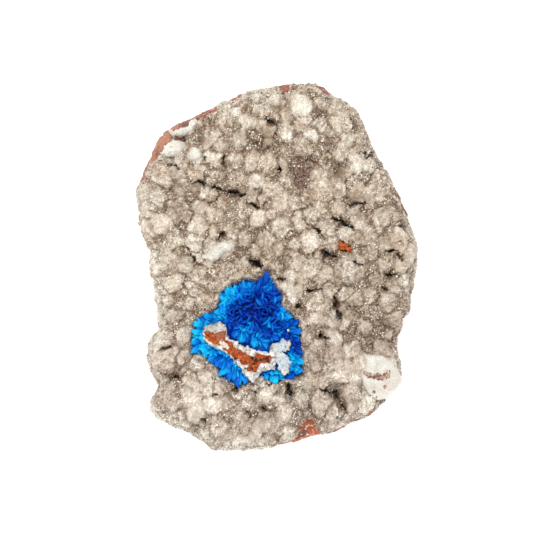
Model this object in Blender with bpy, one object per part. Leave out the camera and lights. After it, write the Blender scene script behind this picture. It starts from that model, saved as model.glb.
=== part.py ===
"""A cavansite specimen: a cluster of blue blades in a lumpy zeolite crust on a slab of red breccia.

The slab lies on its flat back with the crystal face up. Units are metres, +Z is up, +Y is the
slab's long way, and the origin is on the resting plane below the middle of the slab.
Plan positions are read from a photograph of the face, in its pixels, x right and y down.
"""

import math
import random

import bmesh
import bpy
import numpy as np
from mathutils import Vector, noise
from mathutils.geometry import delaunay_2d_cdt

MM = 0.001

# The specimen's real length and the same length in the photograph give the scale of every pixel.
LENGTH = 95.0 * MM
LENGTH_PIXELS = 369.0
PIXEL = LENGTH / LENGTH_PIXELS
MIDDLE = (277.3, 266.5)

GAP = 0.3 * MM
SEED = 11

# Heights above the resting plane.
MATRIX_TOP = 19.8 * MM
CRUST_TOP = 24.4 * MM
CRUST_FOOT = 6.5 * MM
CAP_MIDDLE = 9.0 * MM
POCKET_FLOOR = 21.0 * MM
CLUSTER_BASE = 1.4 * MM
CLUSTER_MARGIN = 0.6 * MM
RIND_SEAT = 22.14 * MM
RIND_HEIGHT = 4.0 * MM
CHIP_FLOOR = 23.9 * MM
CHIP_HEIGHT = 2.9 * MM
CHUNK_FLOOR = 10.0 * MM
CHUNK_HEIGHT = 13.6 * MM

# How far the edges of the rind, the chip and the chunk are rounded and how uneven their tops
# are, and the slope of the chunk's top along x and y.
RIND_ROUNDING = 0.8 * MM
RIND_WAVINESS = 0.5 * MM
CHIP_ROUNDING = 0.35 * MM
CHIP_WAVINESS = 0.6 * MM
CHUNK_ROUNDING = 1.6 * MM
CHUNK_WAVINESS = 0.5 * MM
CHUNK_TILT = (0.3, -0.3)

# The crust's section: how far lumps stand out, and the rounding from its face to its side.
# A place on the crust is a point of the unit disc, whose rim is the crust's lower edge.
LUMP_PROUD = 1.6 * MM
SHOULDER_WIDTH = 5.5 * MM
SHOULDER_DROP = 6.0 * MM
DOME_DROP = 1.6 * MM
FACE_SHARE = 0.64
SHOULDER_SHARE = 0.79
LUMP_SINK = 0.3

# Outline of the whole specimen: x, y, and the width of bare matrix outside the crust there.
OUTLINE = [
    (136, 186, 1.5), (141, 174, 2.5), (150, 156, 4), (156, 143, 9), (160, 136, 11), (165, 130, 12),
    (170, 127, 4), (178, 122, 8), (185, 119, 7), (192, 115.5, 1.5), (199, 112.5, 1), (207, 108.5, 2),
    (216, 104, 2), (223, 101, 0), (230, 97, 2.5), (236, 95, 2), (243, 92, 0), (258, 88.5, 0),
    (267, 86.5, 1), (277, 85, 0), (281, 84, 7), (290, 82.5, 8), (295, 83, 0), (300, 84, 3),
    (306, 83.5, 0), (313, 82, 0), (322, 84.5, 1.5), (330, 91, 1.5), (336, 95, 0), (348, 102, 0),
    (358, 111, 0), (366, 127, 0), (371, 142, 0), (378, 155, 0.5), (387, 169, 0), (396, 188, 2),
    (403, 199, 1.5), (408, 212, 1.5), (409, 222, 0), (414, 234, 0), (418, 247, 0), (419, 258, 0),
    (415, 275, 0), (411, 295, 0), (409, 310, 0), (404, 319, 0), (398, 338, 0), (398, 350, 2.5),
    (400, 366, 0), (402, 381, 0), (393, 393, 0), (382, 404, 1), (370, 417, 1), (352, 425.5, 1.5),
    (335, 433, 1), (322, 436, 0), (314, 436.5, 4), (308, 438, 16), (300, 441, 12), (292, 444, 5),
    (283, 446, 3), (279, 446, 2), (272, 448, 0), (256, 451, 0), (241, 448, 0), (226, 451, 0),
    (212, 449, 0), (201, 441, 0), (190, 433, 0), (175, 427, 0), (160, 420, 0), (151, 411, 0),
    (150, 402, 0), (158, 390, 0), (158, 383, 0), (151, 372, 0), (147, 360, 0), (147, 348, 0),
    (152, 337, 0), (160, 330, 0), (158, 315, 0), (155, 293, 0), (150, 272, 0), (150, 250, 0),
    (146, 242, 0), (139, 228, 0), (140, 212, 0), (136, 198, 0),
]

# Rings of the matrix from the resting face to the middle of its top, in millimetres:
# height, how far inside the outline where it is bare and where the crust hides it,
# then the share of the bare width it also moves in by, and how rough it is where bare.
MATRIX_RINGS = [
    (0.0, 8.5, 9.5, 0.0, 1.0), (2.2, 4.0, 5.8, 0.0, 1.0), (6.0, 1.4, 3.4, 0.0, 1.0),
    (11.0, 0.0, 2.4, 0.0, 0.0), (15.5, 0.9, 2.8, 0.0, 0.0), (18.4, 3.6, 4.6, 0.5, 1.0),
    (19.2, 10.0, 10.0, 0.0, 1.0), (19.6, 19.0, 19.0, 0.0, 1.0),
]
MATRIX_SIDES = 40
MATRIX_ROUGHNESS = 0.54 * MM
KNOB = (345, 247, 6)
KNOB_TOP = 26.0 * MM
KNOB_ROOT = 16.8 * MM
KNOB_SIDES = 7
KNOB_FLARE = (1.3, 0.8)

# Broad rises and hollows of the crust's face: x, y, radius, height in millimetres.
SWELLS = [
    (200, 205, 45, 1.0), (240, 125, 35, 1.0), (340, 120, 30, 0.6), (385, 235, 35, 1.0),
    (350, 265, 24, 1.2), (200, 405, 34, 1.4), (165, 360, 22, 0.8), (325, 400, 26, 0.8),
    (300, 178, 12, -3.2), (338, 172, 11, -1.6), (355, 207, 13, -2.4), (380, 336, 20, -2.6),
    (338, 312, 10, -2.6), (264, 141, 14, -1.2), (260, 414, 16, -1.6), (334, 393, 9, -2.8),
]

# Main crevices between the lumps: from x, y to x, y, and the width.
CREVICES = [
    (264, 118, 276, 126, 4), (172, 137, 187, 139, 5), (192, 182, 205, 183, 4),
    (211, 189, 247, 196, 4), (249, 206, 259, 207, 4), (332, 218, 352, 227, 8),
    (345, 206, 370, 206, 6), (250, 258, 262, 269, 6), (320, 253, 337, 257, 5),
    (296, 305, 301, 308, 7), (334, 298, 340, 322, 6), (401, 222, 405, 231, 6),
    (332, 390, 338, 398, 8), (340, 402, 346, 412, 6), (288, 383, 291, 398, 7),
    (385, 273, 394, 277, 5), (172, 375, 177, 378, 5), (219, 240, 225, 232, 4),
]
CREVICE_DEPTH = 3.2 * MM

# Lumps of the crust that can be told apart: x, y, radius, by region of the face.
UPPER_LEFT_LUMPS = [
    (167, 151, 6), (179, 147, 8), (182, 131, 6), (195, 122, 6), (196, 157, 8), (215, 118, 7),
    (236, 113, 6), (247, 123, 8), (262, 111, 6), (266, 129, 9), (212, 136, 8), (222, 145, 6),
    (240, 140, 9), (207, 146, 6), (196, 140, 5), (164, 177, 10), (153, 169, 9), (146, 190, 9),
    (147, 207, 9), (149, 226, 10), (196, 174, 9), (214, 160, 8), (232, 163, 9), (252, 161, 9),
    (268, 162, 8), (283, 167, 7), (183, 187, 8), (207, 194, 8), (225, 204, 9), (239, 205, 7),
    (258, 217, 8), (238, 218, 8), (215, 213, 8), (180, 212, 10), (198, 226, 9), (165, 223, 9),
    (161, 199, 9), (272, 190, 8), (263, 199, 6), (281, 203, 8), (255, 181, 8), (235, 180, 8),
    (216, 177, 7), (225, 105, 6), (243, 100, 7), (258, 98, 6), (274, 102, 7), (288, 137, 6),
]
UPPER_RIGHT_LUMPS = [
    (312, 90, 7), (326, 97, 7), (301, 108, 10), (319, 105, 7), (335, 108, 7), (348, 112, 8),
    (340, 125, 9), (311, 134, 7), (303, 123, 8), (286, 118, 8), (330, 143, 5), (345, 142, 8),
    (356, 137, 6), (366, 146, 7), (353, 154, 8), (357, 166, 7), (368, 165, 8), (318, 173, 7),
    (320, 191, 10), (337, 189, 9), (295, 204, 9), (320, 207, 7), (309, 217, 8), (357, 192, 8),
    (371, 197, 9), (385, 189, 7), (384, 166, 6), (376, 178, 7), (395, 203, 8), (380, 221, 10),
    (360, 225, 8), (391, 214, 7), (327, 228, 8), (345, 233, 8), (281, 226, 9), (302, 148, 9),
]
MIDDLE_LUMPS = [
    (310, 242, 10), (370, 238, 8), (396, 241, 10), (409, 254, 9), (382, 246, 7), (350, 267, 12),
    (295, 262, 10), (290, 276, 7), (277, 266, 6), (312, 267, 9), (326, 274, 8), (384, 263, 7),
    (400, 265, 8), (403, 279, 7), (316, 302, 10), (296, 291, 8), (284, 286, 7), (293, 301, 6),
    (329, 290, 8), (345, 292, 7), (356, 298, 7), (375, 277, 7), (392, 286, 7), (403, 304, 8),
    (386, 301, 8), (374, 311, 7), (312, 318, 8), (327, 320, 9), (350, 317, 7), (332, 338, 9),
    (318, 346, 8), (334, 357, 10), (350, 351, 9), (345, 366, 8), (316, 362, 8), (338, 375, 8),
    (322, 380, 8), (308, 380, 7), (394, 318, 8), (245, 240, 8), (266, 243, 9), (230, 232, 7),
    (226, 270, 9), (243, 263, 7), (202, 277, 9), (213, 233, 6), (195, 241, 8), (175, 238, 8),
    (170, 262, 9), (186, 264, 8), (176, 282, 9), (195, 291, 8), (186, 304, 8), (205, 302, 8),
    (177, 318, 8), (183, 336, 8), (168, 300, 6), (278, 250, 7),
]
LOWER_LUMPS = [
    (164, 341, 8), (165, 361, 11), (154, 353, 7), (182, 357, 8), (196, 366, 7), (162, 374, 9),
    (190, 380, 8), (206, 378, 8), (166, 389, 8), (161, 403, 9), (176, 402, 8), (191, 397, 9),
    (196, 412, 10), (213, 405, 9), (205, 389, 8), (228, 402, 8), (215, 426, 9), (189, 424, 8),
    (204, 433, 7), (220, 441, 8), (236, 439, 8), (246, 426, 8), (263, 415, 7), (256, 430, 8),
    (271, 426, 8), (265, 440, 8), (250, 441, 7), (285, 412, 9), (279, 399, 7), (265, 395, 8),
    (250, 402, 7), (236, 395, 7), (270, 385, 8), (288, 431, 6), (321, 402, 10), (332, 412, 8),
    (310, 412, 8), (351, 393, 9), (350, 406, 8), (366, 404, 8), (325, 426, 8), (341, 423, 7),
    (302, 398, 7), (357, 419, 7), (374, 394, 7),
]
FACE_LUMPS = UPPER_LEFT_LUMPS + UPPER_RIGHT_LUMPS + MIDDLE_LUMPS + LOWER_LUMPS
FILL_RADII = (6.0, 9.0)
FILL_TRIES = 3000
SIDE_RADII = (9.0, 13.0)
SIDE_TRIES = 1200
LUMP_SPACING = 0.85
CRUST_LEAST = 1.2 * MM

# Waves of the crust's lower edge round the slab: how many, their height and their phase.
FOOT_WAVES = [(5, 1.5 * MM, 0.0), (11, 1.0 * MM, 1.0)]

# Facets of one lump: corners of its flat top and of the valley round it, as shares of its radius.
TOP_RING = (5, 0.45)
VALLEY_RING = (6, 0.95)
RING_TURN = 40
BURIED = 0.05
OUTERMOST = 0.985
CLOSEST_CORNERS = 1.3 * MM
FOOT_CORNERS = 110

# Outline of the blue cluster with the white and red strip inside it.
CLUSTER_OUTLINE = [
    (268, 268), (274, 280), (284, 294), (283, 306), (291, 312), (300, 319), (302, 333), (301, 342),
    (304, 353), (304, 372), (300, 378), (284, 380), (275, 383), (262, 378), (248, 383), (238, 389),
    (228, 383), (219, 378), (216, 367), (205, 358), (189, 353), (190, 340), (192, 321), (202, 313),
    (213, 309), (219, 299), (220, 290), (232, 283), (245, 277), (257, 279),
]
RIND_OUTLINE = [
    (204, 328), (214, 323), (226, 324), (230, 336), (243, 345), (256, 351), (272, 344), (290, 341),
    (291, 356), (290, 368), (282, 375), (268, 371), (258, 376), (248, 376), (238, 366), (226, 353),
    (210, 344), (203, 337),
]
CHIP_OUTLINE = [
    (206, 330), (215, 333), (225, 331), (227, 339), (238, 349), (250, 354), (271, 356), (270, 361),
    (259, 363), (256, 370), (249, 370), (248, 363), (240, 361), (228, 352), (217, 343), (207, 337),
]
CHUNK_OUTLINE = [
    (363, 352), (382, 355), (391, 362), (399, 370), (402, 380), (394, 392), (386, 399), (375, 396),
    (363, 386), (360, 373), (365, 366),
]

# Blades at the rim of the cluster, from x, y to x, y, and the width.
RIM_BLADES = [
    (262, 294, 268, 270, 8), (256, 294, 261, 276, 5), (248, 298, 250, 282, 7), (243, 300, 244, 279, 7),
    (237, 300, 234, 284, 7), (234, 303, 226, 287, 8), (232, 308, 220, 295, 9), (231, 316, 214, 310, 10),
    (272, 300, 275, 284, 7), (270, 304, 283, 296, 8), (276, 316, 285, 307, 8), (276, 321, 292, 314, 10),
    (280, 326, 300, 321, 9), (284, 332, 302, 331, 9), (289, 342, 302, 341, 7), (290, 349, 304, 352, 7),
    (291, 357, 304, 362, 8), (290, 365, 303, 372, 8), (286, 371, 292, 379, 8), (276, 371, 275, 383, 9),
    (268, 370, 266, 379, 7), (221, 321, 203, 314, 7), (208, 328, 193, 322, 8), (207, 335, 191, 332, 8),
    (206, 340, 190, 343, 7), (208, 344, 190, 352, 8), (212, 347, 203, 355, 8), (219, 350, 209, 361, 9),
    (225, 353, 216, 366, 9), (230, 358, 220, 374, 9), (235, 362, 228, 382, 10), (240, 367, 238, 388, 9),
    (243, 369, 247, 382, 8), (240, 322, 233, 338, 9), (247, 326, 242, 343, 9), (254, 328, 254, 348, 10),
    (263, 330, 266, 349, 9), (272, 328, 277, 341, 9), (281, 330, 289, 339, 9),
]
RIM_RISE = (22.0 * MM, 26.2 * MM)
RIM_UNEVEN = 0.8 * MM
RIM_WIDENING = 1.35
RIM_THICKNESS = 1.5 * MM

# The upright blades inside the rim: their middle, the spread of their tips, and their number.
UPRIGHT_MIDDLE = (254, 311)
UPRIGHT_SPREAD = (34, 27)
UPRIGHT_COUNT = 38
UPRIGHT_WIDTH = 4.0 * MM
UPRIGHT_THICKNESS = 2.0 * MM
UPRIGHT_TIP = 28.2 * MM
UPRIGHT_FALL = 1.2 * MM
UPRIGHT_UNEVEN = 1.0 * MM
FOOT_SHARE = 0.7
GOLDEN_ANGLE = math.radians(137.5)
NECK_SHARE = 0.68
ROOT_WIDTH_SHARE = 0.6
SHRINK_STEPS = (1.0, 0.93, 0.86, 0.79, 0.72, 0.65, 0.58, 0.5)

# Section of the rind, the chip and the chunk: shares of the inset and of the height.
SLAB_SECTION = [(0.0, 0.0), (0.0, 0.7), (0.35, 0.92), (1.0, 1.0)]
WAVES_PER_METRE = 400


def plan(x, y):
    """A pixel of the photograph as a place on the plan."""
    return (x - MIDDLE[0]) * PIXEL, (MIDDLE[1] - y) * PIXEL


def edge_table():
    """The outline round the middle as angle, radius and width of bare matrix, in order of angle."""
    rows = []
    for x, y, bare in OUTLINE:
        px, py = plan(x, y)
        rows.append((math.atan2(py, px), math.hypot(px, py), bare * PIXEL))
    return np.array(sorted(rows))


EDGE = edge_table()


def edge_at(angle):
    """Radius of the outline and width of bare matrix at each angle."""
    radius = np.interp(angle, EDGE[:, 0], EDGE[:, 1], period=2 * math.pi)
    bare = np.interp(angle, EDGE[:, 0], EDGE[:, 2], period=2 * math.pi)
    return radius, bare


def swell(x, y):
    """Height of the crust's broad rises and hollows at each place of the plan."""
    height = np.zeros_like(x)
    for px, py, radius, rise in SWELLS:
        cx, cy = plan(px, py)
        away = ((x - cx) ** 2 + (y - cy) ** 2) / (radius * PIXEL) ** 2
        height += rise * MM * np.exp(-away)
    return height


def crevice(x, y):
    """Depth of the crust's main crevices at each place of the plan."""
    depth = np.zeros_like(x)
    for x0, y0, x1, y1, width in CREVICES:
        ax, ay = plan(x0, y0)
        bx, by = plan(x1, y1)
        run = (bx - ax) ** 2 + (by - ay) ** 2
        along = np.clip(((x - ax) * (bx - ax) + (y - ay) * (by - ay)) / run, 0, 1)
        away = np.hypot(x - ax - along * (bx - ax), y - ay - along * (by - ay))
        depth = np.maximum(depth, CREVICE_DEPTH * np.clip(1 - away / (width * PIXEL), 0, 1))
    return depth


def crust_base(u, v):
    """Points of the crust without its lumps, at places of the unit disc."""
    radial = np.hypot(u, v)
    angle = np.arctan2(v, u)
    radius, bare = edge_at(angle)
    rim = radius - bare - LUMP_PROUD
    face = np.minimum(radial / FACE_SHARE, 1)
    bend = np.clip((radial - FACE_SHARE) / (SHOULDER_SHARE - FACE_SHARE), 0, 1) * math.pi / 2
    drop = np.clip((radial - SHOULDER_SHARE) / (1 - SHOULDER_SHARE), 0, 1)
    reach = face * (rim - SHOULDER_WIDTH) + np.sin(bend) * SHOULDER_WIDTH
    x = reach * np.cos(angle)
    y = reach * np.sin(angle)
    top = CRUST_TOP - DOME_DROP * (reach / rim) ** 2 + swell(x, y)
    shoulder = top - SHOULDER_DROP * (1 - np.cos(bend))
    foot = CRUST_FOOT + sum(high * np.sin(count * angle + phase) for count, high, phase in FOOT_WAVES)
    return np.stack([x, y, shoulder + (foot - shoulder) * drop], axis=-1)


def crust_outward(u, v):
    """Unit directions that lumps stand out in: up on the face, turning to level on the side."""
    radial = np.hypot(u, v)
    angle = np.arctan2(v, u)
    bend = np.clip((radial - FACE_SHARE) / (SHOULDER_SHARE - FACE_SHARE), 0, 1) * math.pi / 2
    return np.stack([np.sin(bend) * np.cos(angle), np.sin(bend) * np.sin(angle), np.cos(bend)], axis=-1)


def disc_place(x, y):
    """The place of the unit disc where the crust lies over a plan position."""
    angle = math.atan2(y, x)
    radius, bare = edge_at(angle)
    flat = radius - bare - LUMP_PROUD - SHOULDER_WIDTH
    reach = math.hypot(x, y)
    bend = math.asin(min(max(reach - flat, 0) / SHOULDER_WIDTH, 1)) / (math.pi / 2)
    radial = min(reach / flat, 1) * FACE_SHARE + bend * (SHOULDER_SHARE - FACE_SHARE)
    return radial * math.cos(angle), radial * math.sin(angle)


def disc_scale(u, v):
    """Real length of one unit of the disc near one of its places."""
    radius, bare = edge_at(math.atan2(v, u))
    return (radius - bare - LUMP_PROUD - SHOULDER_WIDTH) / FACE_SHARE


def scatter(rng, lumps, tries, radii, least_radial):
    """Adds random lumps where there is room, between a radial share of the disc and its rim."""
    for _ in range(tries):
        angle = rng.uniform(-math.pi, math.pi)
        radial = math.sqrt(rng.uniform(least_radial**2, 1))
        u = radial * math.cos(angle)
        v = radial * math.sin(angle)
        size = rng.uniform(*radii) * PIXEL
        scale = disc_scale(u, v)
        if all(math.hypot(u - lu, v - lv) * scale > LUMP_SPACING * (size + lr) for lu, lv, lr in lumps):
            lumps.append((u, v, size))


def all_lumps():
    """Every lump as a place on the disc and a radius: the ones read, then random ones between."""
    rng = random.Random(SEED)
    lumps = [(*disc_place(*plan(x, y)), radius * PIXEL) for x, y, radius in FACE_LUMPS]
    scatter(rng, lumps, SIDE_TRIES, SIDE_RADII, SHOULDER_SHARE)
    scatter(rng, lumps, FILL_TRIES, FILL_RADII, 0)
    return lumps


def lump_rise(lumps, points, outward):
    """How far the union of the lumps stands out of each base point, in its outward direction."""
    rise = np.zeros(len(points))
    for u, v, size in lumps:
        centre = crust_base(u, v) - crust_outward(u, v) * LUMP_SINK * size
        offset = centre - points
        near = np.flatnonzero(np.sum(offset**2, axis=1) < (2 * size) ** 2)
        along = np.sum(offset[near] * outward[near], axis=1)
        square = size**2 - np.sum(offset[near] ** 2, axis=1) + along**2
        top = along + np.sqrt(np.maximum(square, 0))
        rise[near] = np.maximum(rise[near], np.where(square > 0, top, 0))
    return rise


def facet_corners(lumps):
    """Places on the disc for the corners of the crust's facets: its foot, then tops and valleys."""
    steps = np.arange(FOOT_CORNERS) * 2 * math.pi / FOOT_CORNERS
    corners = [(math.cos(a), math.sin(a)) for a in steps]
    centres = np.array(lumps)
    for count, share in (TOP_RING, VALLEY_RING):
        for u, v, size in lumps:
            scale = disc_scale(u, v)
            for step in range(count):
                turn = 2 * math.pi * (step + u * RING_TURN) / count
                cu = u + math.cos(turn) * share * size / scale
                cv = v + math.sin(turn) * share * size / scale
                depth = np.hypot(centres[:, 0] - cu, centres[:, 1] - cv) * scale / centres[:, 2]
                near = min(math.hypot(cu - a, cv - b) for a, b in corners) * scale
                clear = near > CLOSEST_CORNERS and depth.min() > share - BURIED
                if clear and math.hypot(cu, cv) < OUTERMOST:
                    corners.append((cu, cv))
    return corners


def material(name, colour, roughness):
    """A plain surface of one colour."""
    made = bpy.data.materials.new(name)
    made.use_nodes = True
    shader = made.node_tree.nodes["Principled BSDF"]
    shader.inputs["Base Color"].default_value = (*colour, 1)
    shader.inputs["Roughness"].default_value = roughness
    shader.inputs["Metallic"].default_value = 0
    return made


def add_object(name, mesh):
    """An object in the scene for a mesh."""
    made = bpy.data.objects.new(name, mesh)
    bpy.context.scene.collection.objects.link(made)
    return made


def mesh_of(name, points, faces):
    """A mesh from points and faces, with its faces turned outward."""
    mesh = bpy.data.meshes.new(name)
    mesh.from_pydata([tuple(map(float, p)) for p in points], [], [tuple(map(int, f)) for f in faces])
    sheet = bmesh.new()
    sheet.from_mesh(mesh)
    bmesh.ops.recalc_face_normals(sheet, faces=sheet.faces)
    sheet.to_mesh(mesh)
    sheet.free()
    return mesh


def cutter(name, mesh):
    """A guide that only cuts other objects."""
    made = add_object(name, mesh)
    made.hide_render = True
    made.display_type = "WIRE"
    return made


def boolean(target, other, operation, solver="EXACT"):
    """A Boolean on the target that cuts away or joins on the other object."""
    modifier = target.modifiers.new(other.name, "BOOLEAN")
    modifier.object = other
    modifier.operation = operation
    modifier.solver = solver
    return modifier


def settle(target):
    """Applies the target's modifiers and keeps only its largest body."""
    bpy.context.view_layer.update()
    graph = bpy.context.evaluated_depsgraph_get()
    mesh = bpy.data.meshes.new_from_object(target.evaluated_get(graph))
    target.modifiers.clear()
    body = bmesh.new()
    body.from_mesh(mesh)
    body.verts.ensure_lookup_table()
    left = set(body.verts)
    islands = []
    while left:
        island = {left.pop()}
        front = list(island)
        while front:
            vertex = front.pop()
            for edge in vertex.link_edges:
                other = edge.other_vert(vertex)
                if other not in island:
                    island.add(other)
                    front.append(other)
        left -= island
        islands.append(island)
    largest = max(islands, key=len)
    bmesh.ops.delete(body, geom=[v for v in body.verts if v not in largest], context="VERTS")
    body.to_mesh(mesh)
    body.free()
    target.data = mesh


def grown(points, amount):
    """A closed plan outline moved outward by an amount."""
    moved = []
    count = len(points)
    area = sum(points[i - 1][0] * points[i][1] - points[i][0] * points[i - 1][1] for i in range(count))
    turn = 1 if area > 0 else -1
    for i, point in enumerate(points):
        before = Vector(point) - Vector(points[i - 1])
        after = Vector(points[(i + 1) % count]) - Vector(point)
        tangent = (before.normalized() + after.normalized()).normalized()
        outward = Vector((tangent.y, -tangent.x)) * turn
        moved.append(tuple(Vector(point) + outward * amount))
    return moved


def prism(name, outline, floor, top, grow=0.0):
    """A straight-sided solid on a plan outline."""
    points = grown([plan(x, y) for x, y in outline], grow)
    count = len(points)
    corners = [(x, y, floor) for x, y in points] + [(x, y, top) for x, y in points]
    faces = [tuple(range(count)), tuple(range(2 * count - 1, count - 1, -1))]
    faces += [(i, (i + 1) % count, count + (i + 1) % count, count + i) for i in range(count)]
    return mesh_of(name, corners, faces)


def lump_slab(name, outline, floor, height, inset, waviness, tilt=(0.0, 0.0)):
    """A solid on a plan outline with a rounded, uneven top that falls by the tilt's two slopes."""
    base = [plan(x, y) for x, y in outline]
    middle = [sum(c) / len(base) for c in zip(*base)]
    count = len(base)
    corners = []
    for inward, upward in SLAB_SECTION:
        for x, y in grown(base, -inward * inset):
            wave = noise.noise(Vector((x, y, 0)) * WAVES_PER_METRE) * waviness
            fall = (x - middle[0]) * tilt[0] + (y - middle[1]) * tilt[1]
            corners.append((x, y, floor + upward * height + (wave - fall if upward else 0)))
    faces = [tuple(range(count))]
    for ring in range(len(SLAB_SECTION) - 1):
        low = ring * count
        for i in range(count):
            j = (i + 1) % count
            faces.append((low + i, low + j, low + count + j, low + count + i))
    faces.append(tuple(range(len(corners) - 1, len(corners) - count - 1, -1)))
    return mesh_of(name, corners, faces)


def matrix_mesh(name, grow):
    """The slab of breccia, or with grow the space that its neighbours leave for it."""
    rng = random.Random(SEED)
    points = []
    for height, bare_inset, hidden_inset, lean, bare_rough in MATRIX_RINGS:
        for side in range(MATRIX_SIDES):
            angle = 2 * math.pi * side / MATRIX_SIDES
            radius, bare = edge_at(angle)
            share = min(bare / PIXEL, 1)
            inset = (bare_inset * share + hidden_inset * (1 - share)) * MM + lean * share * bare
            rough = rng.uniform(-1, 1) * MATRIX_ROUGHNESS * (1 - share + share * bare_rough)
            reach = radius - inset + grow - abs(rough)
            lift = rough + grow if height else -grow
            points.append((reach * math.cos(angle), reach * math.sin(angle), height * MM + lift))
    count = len(points)
    points.append((0, 0, MATRIX_TOP + grow))
    faces = [tuple(range(MATRIX_SIDES - 1, -1, -1))]
    for low in range(0, count - MATRIX_SIDES, MATRIX_SIDES):
        for i in range(MATRIX_SIDES):
            j = (i + 1) % MATRIX_SIDES
            faces.append((low + i, low + j, low + MATRIX_SIDES + j))
            faces.append((low + i, low + MATRIX_SIDES + j, low + MATRIX_SIDES + i))
    last = count - MATRIX_SIDES
    faces += [(last + i, last + (i + 1) % MATRIX_SIDES, count) for i in range(MATRIX_SIDES)]
    return mesh_of(name, points, faces)


def knob_mesh(name, grow):
    """The small knob of breccia that comes up through the crust."""
    x, y = plan(*KNOB[:2])
    low, high = (KNOB[2] * PIXEL * flare + grow for flare in KNOB_FLARE)
    top = KNOB_TOP + grow
    body = bmesh.new()
    bmesh.ops.create_cone(
        body, cap_ends=True, segments=KNOB_SIDES, radius1=low, radius2=high, depth=top - KNOB_ROOT,
    )
    bmesh.ops.translate(body, verts=body.verts, vec=(x, y, (top + KNOB_ROOT) / 2))
    mesh = bpy.data.meshes.new(name)
    body.to_mesh(mesh)
    body.free()
    return mesh


def add_matrix(name, grow):
    """The slab and its knob in one body, or with grow the space they take up in the crust."""
    slab = add_object(name, matrix_mesh(name, grow))
    boolean(slab, cutter(name + "_knob", knob_mesh(name + "_knob", grow)), "UNION")
    settle(slab)
    return slab


def make_matrix(chunk_space):
    """The slab with its knob, cut where the cream chunk sits in its corner."""
    matrix = add_matrix("matrix", 0.0)
    boolean(matrix, chunk_space, "DIFFERENCE")
    settle(matrix)
    matrix.data.materials.append(material("red_breccia", (0.42, 0.16, 0.09), 0.85))
    return matrix


def closed_below(mesh):
    """Closes the crust's sheet with a cone from its lower edge to a point inside the matrix."""
    body = bmesh.new()
    body.from_mesh(mesh)
    rim = [edge for edge in body.edges if edge.is_boundary]
    grown_rim = bmesh.ops.extrude_edge_only(body, edges=rim)["geom"]
    ends = [g for g in grown_rim if isinstance(g, bmesh.types.BMVert)]
    bmesh.ops.pointmerge(body, verts=ends, merge_co=(0, 0, CAP_MIDDLE))
    bmesh.ops.recalc_face_normals(body, faces=body.faces)
    body.to_mesh(mesh)
    body.free()
    return mesh


def make_crust(chunk_space):
    """The zeolite crust: lumps on a curved sheet, hollow underneath for the matrix."""
    lumps = all_lumps()
    corners = facet_corners(lumps)
    sheet = delaunay_2d_cdt([Vector(c) for c in corners], [], [], 0, 1e-6)
    u, v = np.array([tuple(c) for c in sheet[0]]).T
    base = crust_base(u, v)
    outward = crust_outward(u, v)
    rise = lump_rise(lumps, base, outward) - crevice(base[:, 0], base[:, 1])
    points = base + outward * rise[:, None]
    least = np.where(np.hypot(u, v) < FACE_SHARE, MATRIX_TOP + CRUST_LEAST, 0)
    points[:, 2] = np.maximum(points[:, 2], least)
    crust = add_object("zeolite_crust", closed_below(mesh_of("zeolite_crust", points, sheet[2])))
    matrix_space = add_matrix("matrix_space", GAP)
    matrix_space.hide_render = True
    boolean(crust, matrix_space, "DIFFERENCE", "MANIFOLD")
    pocket = prism("pocket", CLUSTER_OUTLINE, POCKET_FLOOR, 2 * CRUST_TOP, CLUSTER_MARGIN + GAP)
    boolean(crust, cutter("pocket", pocket), "DIFFERENCE", "MANIFOLD")
    boolean(crust, chunk_space, "DIFFERENCE", "MANIFOLD")
    settle(crust)
    crust.data.materials.append(material("zeolite", (0.52, 0.43, 0.34), 0.6))
    return crust


def inside(point, outline):
    """Whether a plan point lies inside a closed outline."""
    x, y = point
    odd = False
    for i, (bx, by) in enumerate(outline):
        ax, ay = outline[i - 1]
        if (ay > y) != (by > y) and x < (bx - ax) * (y - ay) / (by - ay) + ax:
            odd = not odd
    return odd


def blade(root, tip, width, thickness, side):
    """Corners and faces of one flat, pointed blade, its broad side along the given direction."""
    axis = (tip - root).normalized()
    broad = (side - axis * side.dot(axis)).normalized()
    flat = axis.cross(broad)
    neck = root + (tip - root) * NECK_SHARE
    section = [(1, 0), (0, 1), (-1, 0), (0, -1)]
    corners = []
    for centre, share in ((root, ROOT_WIDTH_SHARE), (neck, 1.0)):
        for a, b in section:
            corners.append(centre + broad * (a * width / 2 * share) + flat * (b * thickness / 2 * share))
    corners.append(tip)
    faces = [(3, 2, 1, 0)]
    for i in range(4):
        j = (i + 1) % 4
        faces.append((i, j, 4 + j, 4 + i))
        faces.append((4 + i, 4 + j, 8))
    return corners, faces


def fitted_blade(root, tip, width, thickness, side, border):
    """A blade made smaller until it lies inside the border, or None where it can't."""
    for share in SHRINK_STEPS:
        made = blade(root, root + (tip - root) * share, width * share, thickness * share, side)
        if all(inside(corner.xy, border) for corner in made[0]):
            return made
    return None


def rim_blades(rng, border):
    """The broad blades at the cluster's rim, which lean outward with their flat side up."""
    made = []
    for x0, y0, x1, y1, width in RIM_BLADES:
        low, high = RIM_RISE
        root = Vector((*plan(x0, y0), low))
        tip = Vector((*plan(x1, y1), high - rng.uniform(0, RIM_UNEVEN)))
        side = (tip - root).cross(Vector((0, 0, 1)))
        broad = width * PIXEL * RIM_WIDENING
        made.append(fitted_blade(root, tip, broad, RIM_THICKNESS, side, border))
    return [m for m in made if m]


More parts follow.
